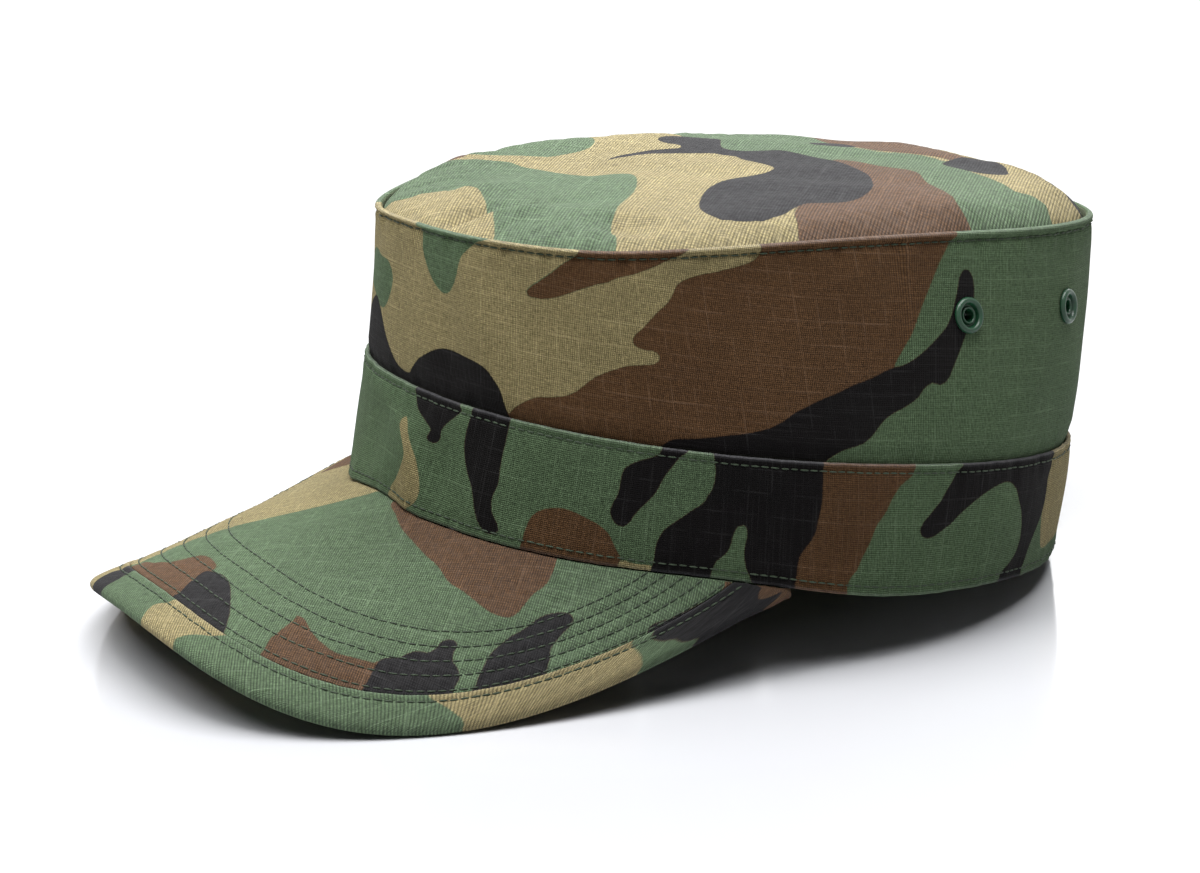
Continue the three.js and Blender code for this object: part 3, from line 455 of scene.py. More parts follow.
PEAK_PRINT = ("green", [
    ("tan", [(-5, -98), (-5, -103), (-11, -108), (-17, -114), (-22, -120), (-27, -127), (-31, -134),
        (-33, -141), (-33, -147), (-32, -152), (-32, -158), (-45, -168), (-95, -120), (-90, -60),
        (-40, -86)]),
    ("brown", [(-29, -163), (-30, -157), (-22, -156), (-17, -152), (-16, -148), (-12, -146.5), (-8.5, -147),
        (-5, -147.8), (-3.7, -149), (-3.3, -153.9), (0.2, -157.5), (2.8, -160.7), (5, -164), (0, -172),
        (-15, -172), (-32, -170)]),
    ("black", [(4, -163), (2.8, -160.7), (0.2, -157.5), (-1.9, -154.9), (-3.5, -152.6), (-3.9, -150.8),
        (-1, -149.5), (2.6, -149), (6.6, -149.6), (11, -151.2), (14.9, -152.9), (18.2, -154.5),
        (21.5, -156.1), (25, -158.4), (27.2, -159.9), (30, -163), (22, -172), (8, -174)]),
    ("brown", [(30.9, -141.9), (32, -144), (33.2, -146.5), (34.3, -149), (35.5, -151.4), (37.3, -153.5),
        (39.1, -155.7), (42.1, -159), (48, -158), (54, -152), (60, -146), (62, -138), (59.8, -136),
        (57.9, -134.7), (56, -132.8), (53.9, -131.9), (51.6, -134.2), (49, -137), (47, -139.3),
        (43.6, -140.6), (40, -141.5), (36, -141.5), (32.8, -141.4)]),
    ("black", [(60, -139), (57.5, -136), (56.5, -134.5), (55, -132.9), (53.3, -130.1), (53.8, -127.8),
        (54.8, -125.8), (54.8, -124), (55.3, -121.3), (56.9, -118.9), (56.5, -116.5), (55.7, -114.8),
        (56.2, -113.2), (57.4, -112), (58.8, -112.4), (60, -113.9), (61.7, -114.7), (63.8, -114.5),
        (66.1, -114.9), (67.5, -117), (72, -122), (70, -134), (64, -142)]),
    ("brown", [(4, -99), (4.1, -103.9), (9.3, -105.2), (15.1, -106.5), (21.7, -106.7), (29.2, -106.8),
        (35.2, -106.3), (41.6, -106.3), (46.2, -104.7), (50.1, -103.5), (53.8, -102.3), (56.8, -100.6),
        (58.8, -98.5), (59, -96.3), (58, -93.4), (57.2, -91.1), (57.1, -87.6), (56, -85.6), (53.5, -83),
        (48, -80), (20, -94)]),
    ("black", [(71, -115), (69.4, -112.1), (68, -110.8), (66.6, -109), (64.4, -106), (63.5, -103),
        (63, -99.8), (63.1, -96.8), (62.8, -94.2), (62.7, -91.8), (63.4, -89.1), (64.8, -86.6),
        (66.3, -85.1), (67.4, -85.1), (68.2, -86), (69, -89.4), (70.5, -92.7), (72.2, -93.5), (73.5, -94.9),
        (78, -98), (78, -112)]),
    ("black", [(77.8, -69.5), (77.6, -67.3), (78.2, -64.7), (78.7, -61.7), (79, -58.7), (79.3, -56),
        (79.8, -53), (80.7, -48.7), (84, -46), (92, -50), (88, -72)]),
    ("brown", [(79, -49), (79.8, -46.8), (82, -41), (90, -33), (94, -46), (84, -49)]),
    ("green", [(-58, -118), (-64, -108), (-72, -98), (-80, -96), (-88, -104), (-84, -118), (-72, -128),
        (-62, -128)]),
    ("black", [(-66, -88), (-70, -92), (-76, -90), (-82, -82), (-86, -70), (-84, -58), (-78, -56),
        (-76, -66), (-72, -76), (-68, -82)]),
    ("brown", [(-50, -86), (-56, -92), (-60, -90), (-64, -82), (-66, -72), (-60, -70), (-48, -78)]),
])

BINDING_PRINT = ("green", [
    ("tan", [(9.5, -3), (9.5, 0), (7.5, 3), (6, 6), (7, 9), (8, 14), (31, 14), (30, 10.8), (27.5, 8),
        (25, 5), (24.3, 3), (24, 1.5), (25, 0), (25.5, -3)]),
    ("black", [(-17, -3), (-17.5, 2), (-19, 6), (-21, 9), (-22, 14), (-33, 14), (-31, 6), (-27, 0),
        (-26, -3)]),
    ("tan", [(-26, -3), (-27, 0), (-31, 6), (-33, 14), (-62, 14), (-58, 5), (-55, -3)]),
    ("tan", [(104.8, -3), (104, 0), (100.7, 2.3), (97, 4), (94, 5.5), (89, 8), (86, 9.5), (83.5, 11),
        (82, 14), (124, 14), (125.5, 11), (128, 9.5), (132, 7.5), (139, 4.6), (144, 2.6), (150.5, 0),
        (153, -3)]),
    ("black", [(169, -3), (167, 0), (158, 2), (150, 3.9), (141, 6), (133, 9), (130, 11), (128, 14),
        (158, 14), (160, 11), (165, 9), (172, 6), (178, 4), (184, 2), (189, 0), (191, -3)]),
    ("brown", [(191, -3), (189, 0), (184, 2), (178, 4), (172, 6), (165, 9), (160, 11), (158, 14), (200, 14),
        (225, 0), (225, -3)]),
])

PRINT_REACH, PLACES_AT_ONCE, OUTLINE_STEPS = 4.0, 4000, 5


def signed_distance(places, outline):
    """Millimetres from the edge of an outline, inside positive, never more than PRINT_REACH."""
    low, high = outline.min(0) - PRINT_REACH, outline.max(0) + PRINT_REACH
    near = np.flatnonzero(((places > low) & (places < high)).all(-1))
    distance = np.full(len(places), -PRINT_REACH)
    start, end = outline, np.roll(outline, -1, 0)
    edge = end - start
    span = np.maximum((edge ** 2).sum(-1), 1e-9)
    for part in np.array_split(near, max(1, len(near) // PLACES_AT_ONCE)):
        spot = places[part][:, None, :]
        share = np.clip(((spot - start) * edge).sum(-1) / span, 0, 1)
        apart = np.sqrt(((spot - start - edge * share[..., None]) ** 2).sum(-1).min(1))
        between = (start[:, 1] > spot[..., 1]) != (end[:, 1] > spot[..., 1])
        rise = np.where(edge[:, 1] == 0, 1e-9, edge[:, 1])
        crossing = start[:, 0] + edge[:, 0] * (spot[..., 1] - start[:, 1]) / rise
        inside = (between & (spot[..., 0] < crossing)).sum(1) % 2 == 1
        distance[part] = np.minimum(np.where(inside, apart, -apart), PRINT_REACH)
    return distance


def paint(places, ground, patches, shifts=((0, 0),)):
    """How deep each place lies in the dyed, the dark and the black part of the print, in millimetres."""
    depth = {"dyed": ground != "tan", "dark": ground in ("brown", "black"), "black": ground == "black"}
    depth = {name: np.full(len(places), PRINT_REACH if held else -PRINT_REACH)
             for name, held in depth.items()}
    layers = {"tan": (), "green": ("dyed",), "brown": ("dyed", "dark"), "black": ("dyed", "dark", "black")}
    for colour, corners in patches:
        outline = smooth_run(corners, OUTLINE_STEPS, closed=True)
        for shift in shifts:
            distance = signed_distance(places, outline + np.array(shift))
            for name, value in depth.items():
                laid = name in layers[colour]
                depth[name] = np.maximum(value, distance) if laid else np.minimum(value, -distance)
    return depth


def turned(patches, across, up):
    """The same patches turned half round, for the far side that the photograph doesn't show."""
    return [(colour, [(across - u, up - v) for u, v in corners]) for colour, corners in patches]


# Meshes


def make_object(name, points, faces, cloth_map, fields):
    """A smooth cloth piece from points in the cap's own frame, with its own attributes. The cloth map, in
    millimetres, is given for each point, or for each corner where it has a seam."""
    points = to_row(points.reshape(-1, 3))
    faces = [tuple(map(int, face)) for face in faces]
    corners = np.array([index for face in faces for index in face])
    if len(cloth_map) == len(points):
        cloth_map = cloth_map[corners]
    sizes = np.array([len(face) for face in faces])
    starts = np.concatenate([[0], np.cumsum(sizes)[:-1]])
    first, second, third = (points[corners[starts + step]] for step in (0, 1, 2))
    last = points[corners[starts + sizes - 1]]
    volume = (first * np.cross(second, third)).sum() + (first * np.cross(third, last)).sum()
    if volume < 0:
        faces = [tuple(reversed(face)) for face in faces]
        order = [np.arange(start, start + size)[::-1] for start, size in zip(starts, sizes)]
        cloth_map = cloth_map[np.concatenate(order)]
    mesh = bpy.data.meshes.new(name)
    mesh.from_pydata(points.tolist(), [], faces)
    mesh.uv_layers.new(name="cloth").data.foreach_set("uv", cloth_map.astype(np.float32).ravel())
    for field, values in fields.items():
        attribute = mesh.attributes.new(field, "FLOAT", "POINT")
        attribute.data.foreach_set("value", np.asarray(values, np.float32).ravel())
    mesh.shade_smooth()
    mesh.materials.append(CLOTH)
    piece = bpy.data.objects.new(name, mesh)
    bpy.context.scene.collection.objects.link(piece)
    return piece


def ring_quads(columns, rows, closed):
    """Quads of a loft whose sections are closed loops of rows, as column and row steps."""
    i, k = np.meshgrid(np.arange(columns if closed else columns - 1), np.arange(rows), indexing="ij")
    steps = [np.stack([i + across, k + up], -1) for across, up in ((0, 0), (1, 0), (1, 1), (0, 1))]
    return np.stack(steps, -2).reshape(-1, 4, 2)


def quad_faces(quads, columns, rows):
    return (quads[..., 0] % columns) * rows + quads[..., 1] % rows


def round_map(across, up, quads):
    """Cloth map of a panel that runs round the cap and meets itself behind."""
    columns, rows = across.shape
    i, k = quads[..., 0], quads[..., 1] % rows
    return np.stack([across[i % columns, k] + (i >= columns) * ROUND_LENGTH, up[i % columns, k]], -1)


def slantwise(across, up, scale):
    """Cloth map of a panel whose threads run slantwise."""
    return np.stack([across + up, up - across], -1) * scale


# Finishes


def hex_linear(code):
    """An sRGB hex colour as linear numbers with full cover."""
    channels = [int(code[i:i + 2], 16) / 255 for i in (1, 3, 5)]
    return [c / 12.92 if c <= 0.04045 else ((c + 0.055) / 1.055) ** 2.4 for c in channels] + [1.0]


def add_node(tree, kind, inputs=None, **settings):
    """Adds a node with its settings. An input is a value, a socket, or a node that gives its first output."""
    made = tree.nodes.new(kind)
    for key, value in settings.items():
        setattr(made, key, value)
    for key, value in (inputs or {}).items():
        if isinstance(value, bpy.types.Node):
            value = value.outputs[0]
        if isinstance(value, bpy.types.NodeSocket):
            tree.links.new(value, made.inputs[key])
        else:
            made.inputs[key].default_value = value
    return made


def new_material(name):
    material = bpy.data.materials.new(name)
    material.use_nodes = True
    material.node_tree.nodes.clear()
    return material, material.node_tree


# Dyes of the print
DYES = {"tan": "#877c58", "green": "#4e6046", "brown": "#523b26", "black": "#0c0a0a"}
CLOTH_REVERSE = "#6c6f5b"

# Ripstop cotton. Threads lie 0.35 mm apart; they are drawn 0.52 mm apart, so that they show.
THREAD_PAIR, RIPSTOP_SQUARE, RIPSTOP_START, RIPSTOP_FULL = 0.52, 6.0, 0.45, 0.485
PRINT_EDGE, PRINT_RAGGED = 0.16, 0.5
# Depths of the fine relief that only the shading shows
CLOTH_RELIEF, THREAD_RELIEF, ENAMEL_RELIEF = 0.18 * MM, 0.05 * MM, 0.08 * MM

# What varies in the cloth: grains for each mm across and up, detail, a span of the noise, and what that
# span becomes
CLOTH_NOISE = [
    ("dips", 0.12, 0.12, 1.0, 0.4, 0.68, 0.0, 1.0),
    ("weft_float", 0.5, 3.2, 1.0, 0.0, 1.0, 0.0, 1.0),
    ("warp_float", 3.2, 0.5, 1.0, 0.0, 1.0, 0.0, 1.0),
    ("weft_slub", 0.04, 3.0, 1.0, 0.56, 0.68, 0.0, 0.6),
    ("warp_slub", 3.0, 0.04, 1.0, 0.63, 0.73, 0.0, 0.25),
    ("speck", 1.9, 1.9, 2.0, 0.3, 0.7, 0.78, 1.22),
    ("ragged", 2.2, 2.2, 2.0, 0.0, 1.0, -PRINT_RAGGED / 2, PRINT_RAGGED / 2),
    ("fading", 0.03, 0.03, 2.0, 0.3, 0.7, 0.92, 1.08),
    ("rubbing_and_sheen_patches", 0.7, 0.7, 3.0, 0.3, 0.7, 0.5, 1.0),
]
MATH, VECTOR_MATH, MIX = "ShaderNodeMath", "ShaderNodeVectorMath", "ShaderNodeMix"


def ripstop_cotton():
    """Printed ripstop cotton, plain woven: matt, with a faint sheen of fibres, dark pits between the threads
    as painted shade and lighter crowns as painted highlight, thicker threads every 6 mm, uneven yarn with
    slubs, print edges along the threads, pale worn edges, and a painted sheen over the top and peak."""
    material, tree = new_material("ripstop_cotton_woodland")
    cloth = add_node(tree, "ShaderNodeUVMap", uv_map="cloth")
    noise = {}
    for use, across, up, detail, low, high, to_low, to_high in CLOTH_NOISE:
        spread = add_node(tree, VECTOR_MATH, {0: cloth, 1: [across, up, 1]}, operation="MULTIPLY")
        grain = add_node(tree, "ShaderNodeTexNoise", {"Vector": spread, "Scale": 1.0, "Detail": detail})
        noise[use] = add_node(tree, "ShaderNodeMapRange", {"Value": grain, "From Min": low, "From Max": high,
                                                           "To Min": to_low, "To Max": to_high})

    # Plain weave: a crown where a thread passes over, a pit between four, the warp a little prouder
    scaled = add_node(tree, VECTOR_MATH, {0: cloth, 1: [math.pi / THREAD_PAIR] * 3}, operation="MULTIPLY")
    waves = add_node(tree, VECTOR_MATH, {0: scaled}, operation="SINE")
    swing = add_node(tree, VECTOR_MATH, {0: waves}, operation="ABSOLUTE")
    wave = add_node(tree, "ShaderNodeSeparateXYZ", {0: swing})
    crossing = add_node(tree, MATH, {0: wave.outputs[0], 1: wave.outputs[1]}, operation="MULTIPLY")
    warp = add_node(tree, MATH, {0: wave.outputs[0], 1: 0.45}, operation="MULTIPLY")
    weave = add_node(tree, MATH, {0: crossing, 1: 0.65, 2: warp}, operation="MULTIPLY_ADD")

    # Ripstop threads, broken up where they dip under
    squares = add_node(tree, VECTOR_MATH, {0: cloth, 1: [1 / RIPSTOP_SQUARE] * 3}, operation="MULTIPLY")
    part = add_node(tree, VECTOR_MATH, {0: squares}, operation="FRACTION")
    middle = add_node(tree, VECTOR_MATH, {0: part, 1: [0.5] * 3}, operation="SUBTRACT")
    offset = add_node(tree, VECTOR_MATH, {0: middle}, operation="ABSOLUTE")
    sides = add_node(tree, "ShaderNodeSeparateXYZ", {0: offset})
    nearest = add_node(tree, MATH, {0: sides.outputs[0], 1: sides.outputs[1]}, operation="MAXIMUM")
    line = add_node(tree, "ShaderNodeMapRange", {
        "Value": nearest, "From Min": RIPSTOP_START, "From Max": RIPSTOP_FULL})
    ripstop = add_node(tree, MATH, {0: line, 1: noise["dips"]}, operation="MULTIPLY")

    # Yarn: short floats that vary in tone, and long pale slubs
    floats = add_node(tree, MATH, {0: noise["weft_float"], 1: noise["warp_float"]}, operation="ADD")
    slubs = add_node(tree, MATH, {0: noise["weft_slub"], 1: noise["warp_slub"]}, operation="ADD")
    pale = add_node(tree, MATH, {0: slubs, 1: ripstop}, operation="ADD")

    # Print
    colour = hex_linear(DYES["tan"])
    for field, dye in (("dyed", "green"), ("dark", "brown"), ("black", "black")):
        depth = add_node(tree, "ShaderNodeAttribute", attribute_name=field)
        edge = add_node(tree, MATH, {0: depth.outputs["Fac"], 1: noise["ragged"]}, operation="ADD")
        cover = add_node(tree, "ShaderNodeMapRange", {"Value": edge, "From Min": -PRINT_EDGE,
                                                      "From Max": PRINT_EDGE})
        dyed = add_node(tree, MIX, {0: cover, 6: colour, 7: hex_linear(DYES[dye])}, data_type="RGBA")
        colour = dyed.outputs[2]

    # Tone of the threads over the print, then pale threads, fading, worn edges and a painted sheen
    # The weave's relief is also painted into the colour: pits darker as painted shade, crowns lighter as
    # painted highlight
    tone = add_node(tree, "ShaderNodeMapRange", {"Value": weave, "From Min": 0.1, "From Max": 1.0,
                                                 "To Min": 0.45, "To Max": 1.3})
    for share in (floats, noise["speck"], noise["fading"]):
        tone = add_node(tree, MATH, {0: tone, 1: share}, operation="MULTIPLY")
    light = add_node(tree, MATH, {0: pale, 1: 0.3, 2: tone}, operation="MULTIPLY_ADD")
    shaded = add_node(tree, VECTOR_MATH, {0: colour, "Scale": light}, operation="SCALE")
    glint = add_node(tree, MATH, {0: pale, 1: 0.01}, operation="MULTIPLY")
    threads = add_node(tree, VECTOR_MATH, {0: shaded, 1: glint}, operation="ADD")
    reverse = add_node(tree, "ShaderNodeAttribute", attribute_name="reverse")
    inside = add_node(tree, MIX, {0: reverse.outputs["Fac"], 6: threads, 7: hex_linear(CLOTH_REVERSE)},
                      data_type="RGBA").outputs[2]
    # Worn edges pale the cloth; over the top, peak and binding the same paling is a painted sheen, for the
    # haze of light glancing off them
    wear_and_sheen = add_node(tree, "ShaderNodeAttribute", attribute_name="wear_and_sheen")
    sheen_and_wear_share = add_node(tree, MATH, {0: wear_and_sheen.outputs["Fac"], 1: noise["rubbing_and_sheen_patches"]}, operation="MULTIPLY")
    faded = add_node(tree, VECTOR_MATH, {0: inside, 1: [1.15] * 3, 2: [0.08, 0.08, 0.085]},
                     operation="MULTIPLY_ADD")
    final = add_node(tree, MIX, {0: sheen_and_wear_share, 6: inside, 7: faded}, data_type="RGBA").outputs[2]

    raised = add_node(tree, MATH, {0: floats, 1: 0.9, 2: weave}, operation="MULTIPLY_ADD")
    height = add_node(tree, MATH, {0: pale, 1: 0.7, 2: raised}, operation="MULTIPLY_ADD")
    bump = add_node(tree, "ShaderNodeBump", {"Strength": 0.8, "Distance": CLOTH_RELIEF, "Height": height})
    shader = add_node(tree, "ShaderNodeBsdfPrincipled", {
        "Base Color": final, "Roughness": 0.8, "IOR": 1.47, "Specular IOR Level": 0.08,
        "Sheen Weight": 0.02, "Sheen Roughness": 0.4, "Normal": bump})
    add_node(tree, "ShaderNodeOutputMaterial", {0: shader})
    return material


def sewing_thread():
    """Spun polyester thread, dark green: a fine twist and a slight sheen."""
    material, tree = new_material("spun_sewing_thread")
    place = add_node(tree, "ShaderNodeTexCoord").outputs["Object"]
    twist = add_node(tree, "ShaderNodeTexNoise", {"Vector": place, "Scale": 1800.0, "Detail": 2.0})
    tone = add_node(tree, MIX, {0: twist, 6: hex_linear("#161e14"), 7: hex_linear("#3f4d3a")},
                    data_type="RGBA")
    bump = add_node(tree, "ShaderNodeBump", {"Strength": 0.5, "Distance": THREAD_RELIEF, "Height": twist})
    shader = add_node(tree, "ShaderNodeBsdfPrincipled", {
        "Base Color": tone.outputs[2], "Roughness": 0.6, "IOR": 1.5, "Specular IOR Level": 0.3,
        "Normal": bump})
    add_node(tree, "ShaderNodeOutputMaterial", {0: shader})
    return material


def eyelet_enamel():
    """Stoved enamel paint on pressed metal: glossy dark green, with the faint waviness of paint."""
    material, tree = new_material("stoved_enamel_green")
    place = add_node(tree, "ShaderNodeTexCoord").outputs["Object"]
    waviness = add_node(tree, "ShaderNodeTexNoise", {"Vector": place, "Scale": 700.0, "Detail": 2.0})
    tone = add_node(tree, MIX, {0: waviness, 6: hex_linear("#0f3320"), 7: hex_linear("#1c452d")},
                    data_type="RGBA")
    bump = add_node(tree, "ShaderNodeBump", {"Strength": 0.25, "Distance": ENAMEL_RELIEF, "Height": waviness})
    shader = add_node(tree, "ShaderNodeBsdfPrincipled", {
        "Base Color": tone.outputs[2], "Roughness": 0.3, "IOR": 1.5, "Specular IOR Level": 0.3,
        "Coat Weight": 0.15, "Coat Roughness": 0.08, "Normal": bump})
    add_node(tree, "ShaderNodeOutputMaterial", {0: shader})
    return material


CLOTH, THREAD, ENAMEL = ripstop_cotton(), sewing_thread(), eyelet_enamel()

# Cloth panels

ROUND_STEPS = 480
ROUND_ANGLES = np.interp(ROUND_ARC[0] + ROUND_LENGTH * np.arange(ROUND_STEPS) / ROUND_STEPS, ROUND_ARC,
                         ROUND_TABLE)
ROUND_U = np.interp(ROUND_ANGLES, ROUND_TABLE, ROUND_ARC)

WELT_STITCH, BAND_HEAD_STITCH, BAND_FOOT_STITCH = 52.0, 30.7, 2.5
STITCH_GROOVE, GROOVE_WIDTH, FOOT_GROOVE_SHARE = 0.22, 0.8, 0.8
# How strongly puckers and slow waves show in each piece
WELT_PUCKER, BAND_PUCKER, TOP_PUCKER, PEAK_PUCKER, BINDING_PUCKER = 0.45, 0.26, 0.3, 0.12, 0.16
TOP_WAVE, PEAK_WAVE, BAND_PHASE = 1.6, 0.7, 13
# The span round the cap that the photograph shows, and where the print turns about for the rest
SHOWN_SPAN, PRINT_JOIN, FAR_TURN, WALL_PRINT_HEIGHT = (-42, 264), 2, 524, 54
REVERSE_SHARE, WELT_WEAR = 0.6, 0.9


def near_and_far(places, chart, turn, shown, shifts=((0, 0),)):
    """The chart's print where the photograph shows it; elsewhere the same patches turned."""
    ground, patches = chart
    near, far = paint(places, ground, patches), paint(places, ground, turned(patches, *turn), shifts)
    return {name: far[name] * (1 - shown) + near[name] * shown for name in near}


def print_round(u, v, chart, height):
    places = np.stack([u, v], -1).reshape(-1, 2)
    start, end = SHOWN_SPAN
    inside = np.minimum(places[:, 0] - start, end - places[:, 0])
    shown = np.clip(inside / PRINT_JOIN, 0, 1)
    return near_and_far(places, chart, (FAR_TURN, height), shown, ((0, 0), (-ROUND_LENGTH, 0)))


def round_grid(section):
    """Angle, length round, height and inset of each point of a panel that runs round the cap."""
    return np.broadcast_arrays(ROUND_ANGLES[:, None], ROUND_U[:, None], section[:, 0], section[:, 1])


# Rows of the open wall, between the seam at its foot and the welt
OPEN_START, OPEN_END, OPEN_ROWS = 7, 48.4, 37
HOLE_SNAP = 0.62


def wall_section():
    """Rows of the crown wall as height and inset: up the outside, over the welt and down the inside."""
    foot = np.array([(-WALL_TUCK, TUCK_INSET), (-1.5, TUCK_INSET), (-0.2, TUCK_INSET)])
    rise = np.arange(0.6, 6.1, 0.9)
    shoulder = np.stack([rise, TUCK_INSET * (1 - smoothstep(rise, -0.8, 5.2))], -1)
    open_wall = np.stack([np.linspace(OPEN_START, OPEN_END, OPEN_ROWS), np.zeros(OPEN_ROWS)], -1)
    welt = smooth_run([(49.4, 0.02), (50.4, 0.1), (51.3, 0.3), (51.9, 0.52), (52.3, 0.42), (52.65, 0.05),
                       (53.05, -0.3), (53.55, -0.42), (53.95, -0.24), (54.2, 0.2), (54.25, 0.8), (53.95, 1.3),
                       (53.2, 1.58)], 2)
    inner = np.stack([np.linspace(OPEN_END, OPEN_START, OPEN_ROWS), np.full(OPEN_ROWS, CROWN_WALL)], -1)
    inner_foot = np.array([(4, CROWN_WALL + 0.3), (0, CROWN_WALL + TUCK_INSET),
                           (-WALL_TUCK, CROWN_WALL + TUCK_INSET)])
    outer = len(foot) + len(shoulder)
    inner_start = outer + len(open_wall) + len(welt)
    return np.concatenate([foot, shoulder, open_wall, welt, inner, inner_foot]), outer, inner_start


def punch_eyelet_holes(points, faces, outer, inner_start):
    """Moves the points nearest each eyelet hole onto its rim, in both skins of the wall. Gives which quads
    stay, and the quads that join the two rims."""
    rows = points.shape[1]
    keep, bridges = np.ones(len(faces), bool), []

    def inner_of(index):
        return (index // rows) * rows + inner_start + OPEN_ROWS - 1 - (index % rows - outer)

    for turn in EYELETS.values():
        centres = crown_wall_point(np.array(turn), np.array(EYELET_LEVEL * WALL_HEIGHT),
                                   np.array([0.0, CROWN_WALL])[:, None]).reshape(2, 3)
        held = np.zeros((ROUND_STEPS, rows), bool)
        for k in range(OPEN_ROWS):
            reach = np.linalg.norm(points[:, outer + k] - centres[0], axis=-1)
            snapped = np.abs(reach - EYELET_HOLE_IN_CLOTH) < HOLE_SNAP
            held[:, outer + k] = (reach < EYELET_HOLE_IN_CLOTH) | snapped
            for centre, column in zip(centres, (outer + k, inner_start + OPEN_ROWS - 1 - k)):
                away = points[:, column] - centre
                ratio = EYELET_HOLE_IN_CLOTH / np.maximum(np.linalg.norm(away, axis=-1, keepdims=True), 1e-6)
                points[:, column] = np.where(snapped[:, None], centre + away * ratio, points[:, column])
        flat = held.reshape(-1)
        gone = flat[faces].all(-1)
        keep &= ~gone & ~np.isin(faces, inner_of(np.flatnonzero(flat))).all(-1)
        sides = [(int(a), int(b)) for face in faces[gone] for a, b in zip(face, np.roll(face, -1))]
        uses = Counter((min(side), max(side)) for side in sides)
        bridges += [(a, b, inner_of(b), inner_of(a)) for a, b in sides if uses[min(a, b), max(a, b)] == 1]
    return keep, bridges


def make_crown_wall():
    section, outer, inner_start = wall_section()
    angle, u, v, inset = round_grid(section)
    soft = smoothstep(v, 2, 12) * (1 - smoothstep(v, 46, 50))
    pull = bell(v - WELT_STITCH, 4.5) * (v < 53) + 0.6 * bell(v, 5)
    moved = ripple(u, v, SLOW_WAVES) * soft + WELT_PUCKER * ripple(u, v, PUCKERS) * pull * (inset < 1)
    points = crown_wall_point(angle, v, inset - moved)
    # The wall is cut from a straight strip, so its threads run level with its foot and meet the rim slantwise
    real_height = np.linalg.norm(ring_point("rim", ROUND_ANGLES) - ring_point("head", ROUND_ANGLES), axis=-1)
    grain = v * (real_height / WALL_HEIGHT)[:, None]
    quads = ring_quads(ROUND_STEPS, len(section), closed=True)
    faces = quad_faces(quads, ROUND_STEPS, len(section))
    keep, bridges = punch_eyelet_holes(points, faces, outer, inner_start)
    bridge_map = [(u.flat[i], grain.flat[i]) for a, b, *_ in bridges for i in (a, b, b, a)]
    cloth_map = np.concatenate([round_map(u, grain, quads)[keep].reshape(-1, 2), bridge_map])
    faces = np.concatenate([faces[keep], bridges])
    used = np.isin(np.arange(angle.size), faces)
    fields = print_round(u, v, WALL_PRINT, WALL_PRINT_HEIGHT)
    # The photograph has no black or brown on the far part of the welt that shows beyond the top
    far_welt = bell(turn_between(angle, FAR_FRONT), FAR_FRONT_SPREAD) * smoothstep(v, 36, 46)
    for colour in ("dark", "black"):
        fields[colour] = fields[colour] - FAR_WELT_SHIFT * far_welt.reshape(-1)
    fields["wear_and_sheen"] = WELT_WEAR * bell(v - 54.1, 0.4) * (inset < 1.0)
    fields["reverse"] = smoothstep(inset, 1.0, 1.5) * (v > -0.5) * REVERSE_SHARE
    fields = {name: values.reshape(-1)[used] for name, values in fields.items()}
    faces = (np.cumsum(used) - 1)[faces]
    return make_object("crown_wall", points.reshape(-1, 3)[used], faces, cloth_map, fields)


def make_band():
    outer = [(0.02, 0.75), (0.1, 0.4), (0.45, 0.1), (1.1, 0.0), (1.8, 0.03)]
    outer += [(height, 0.0) for height in np.arange(2.5, 29.8, 1.05)]
    head = smooth_run([(29.9, 0.02), (30.7, 0.05), (31.6, -0.02), (32.35, 0.0), (32.75, 0.3), (32.85, 0.7),
                       (32.7, 1.1), (32.2, 1.28)], 2)
    inner = [(30, 1.25), (27.8, 1.22), (26.4, 1.9), (25.6, BAND_WALL)]
    inner += [(height, BAND_WALL) for height in np.linspace(23, 1.2, 14)]
    inner += [(0.45, 2.2), (0.1, 1.9), (0.02, 1.5)]
    section = np.concatenate([np.array(outer), head, np.array(inner)])
    angle, u, v, inset = round_grid(section)
    groove = bell(v - BAND_HEAD_STITCH, GROOVE_WIDTH)
    groove += FOOT_GROOVE_SHARE * bell(v - BAND_FOOT_STITCH, GROOVE_WIDTH)
    soft = smoothstep(v, 0, 8) * (1 - smoothstep(v, 24, 31))
    pull = bell(v - BAND_HEAD_STITCH, 4) + bell(v - BAND_FOOT_STITCH, 4)
    moved = ripple(u + 40, v, SLOW_WAVES) * soft + BAND_PUCKER * ripple(u + BAND_PHASE, v, PUCKERS) * pull
    points = band_point(angle, v, inset + (STITCH_GROOVE * groove - moved) * (inset < 1.0))
    quads = ring_quads(ROUND_STEPS, len(section), closed=True)
    # The band is cut along the cloth, so the weft, which has the slubs, stands upright in it
    cloth_map = round_map(u, v, quads)[..., ::-1].reshape(-1, 2)
    fields = print_round(u, v, BAND_PRINT, BAND_HEIGHT)
    fields["wear_and_sheen"] = (WELT_WEAR * bell(v - 32.75, 0.4) + 0.6 * bell(v - 0.3, 0.4)) * (inset < 1.2)
    fields["reverse"] = smoothstep(inset, 1.4, 2.0) * (v > 0.6) * REVERSE_SHARE
    faces = quad_faces(quads, ROUND_STEPS, len(section))
    return make_object("band_cloth", points, faces, cloth_map, fields)


# The top, peak and binding are cut slantwise. Their threads are drawn coarser than on the wall, since they
# are seen at a low angle. A painted sheen pales them, standing in for the haze of light glancing off them.
SLANT_THREADS, PEAK_THREADS = 0.62 / math.sqrt(2), 0.85 / math.sqrt(2)
TOP_PAINTED_SHEEN, PEAK_PAINTED_SHEEN = 0.5, 0.27

TOP_STEPS = 360


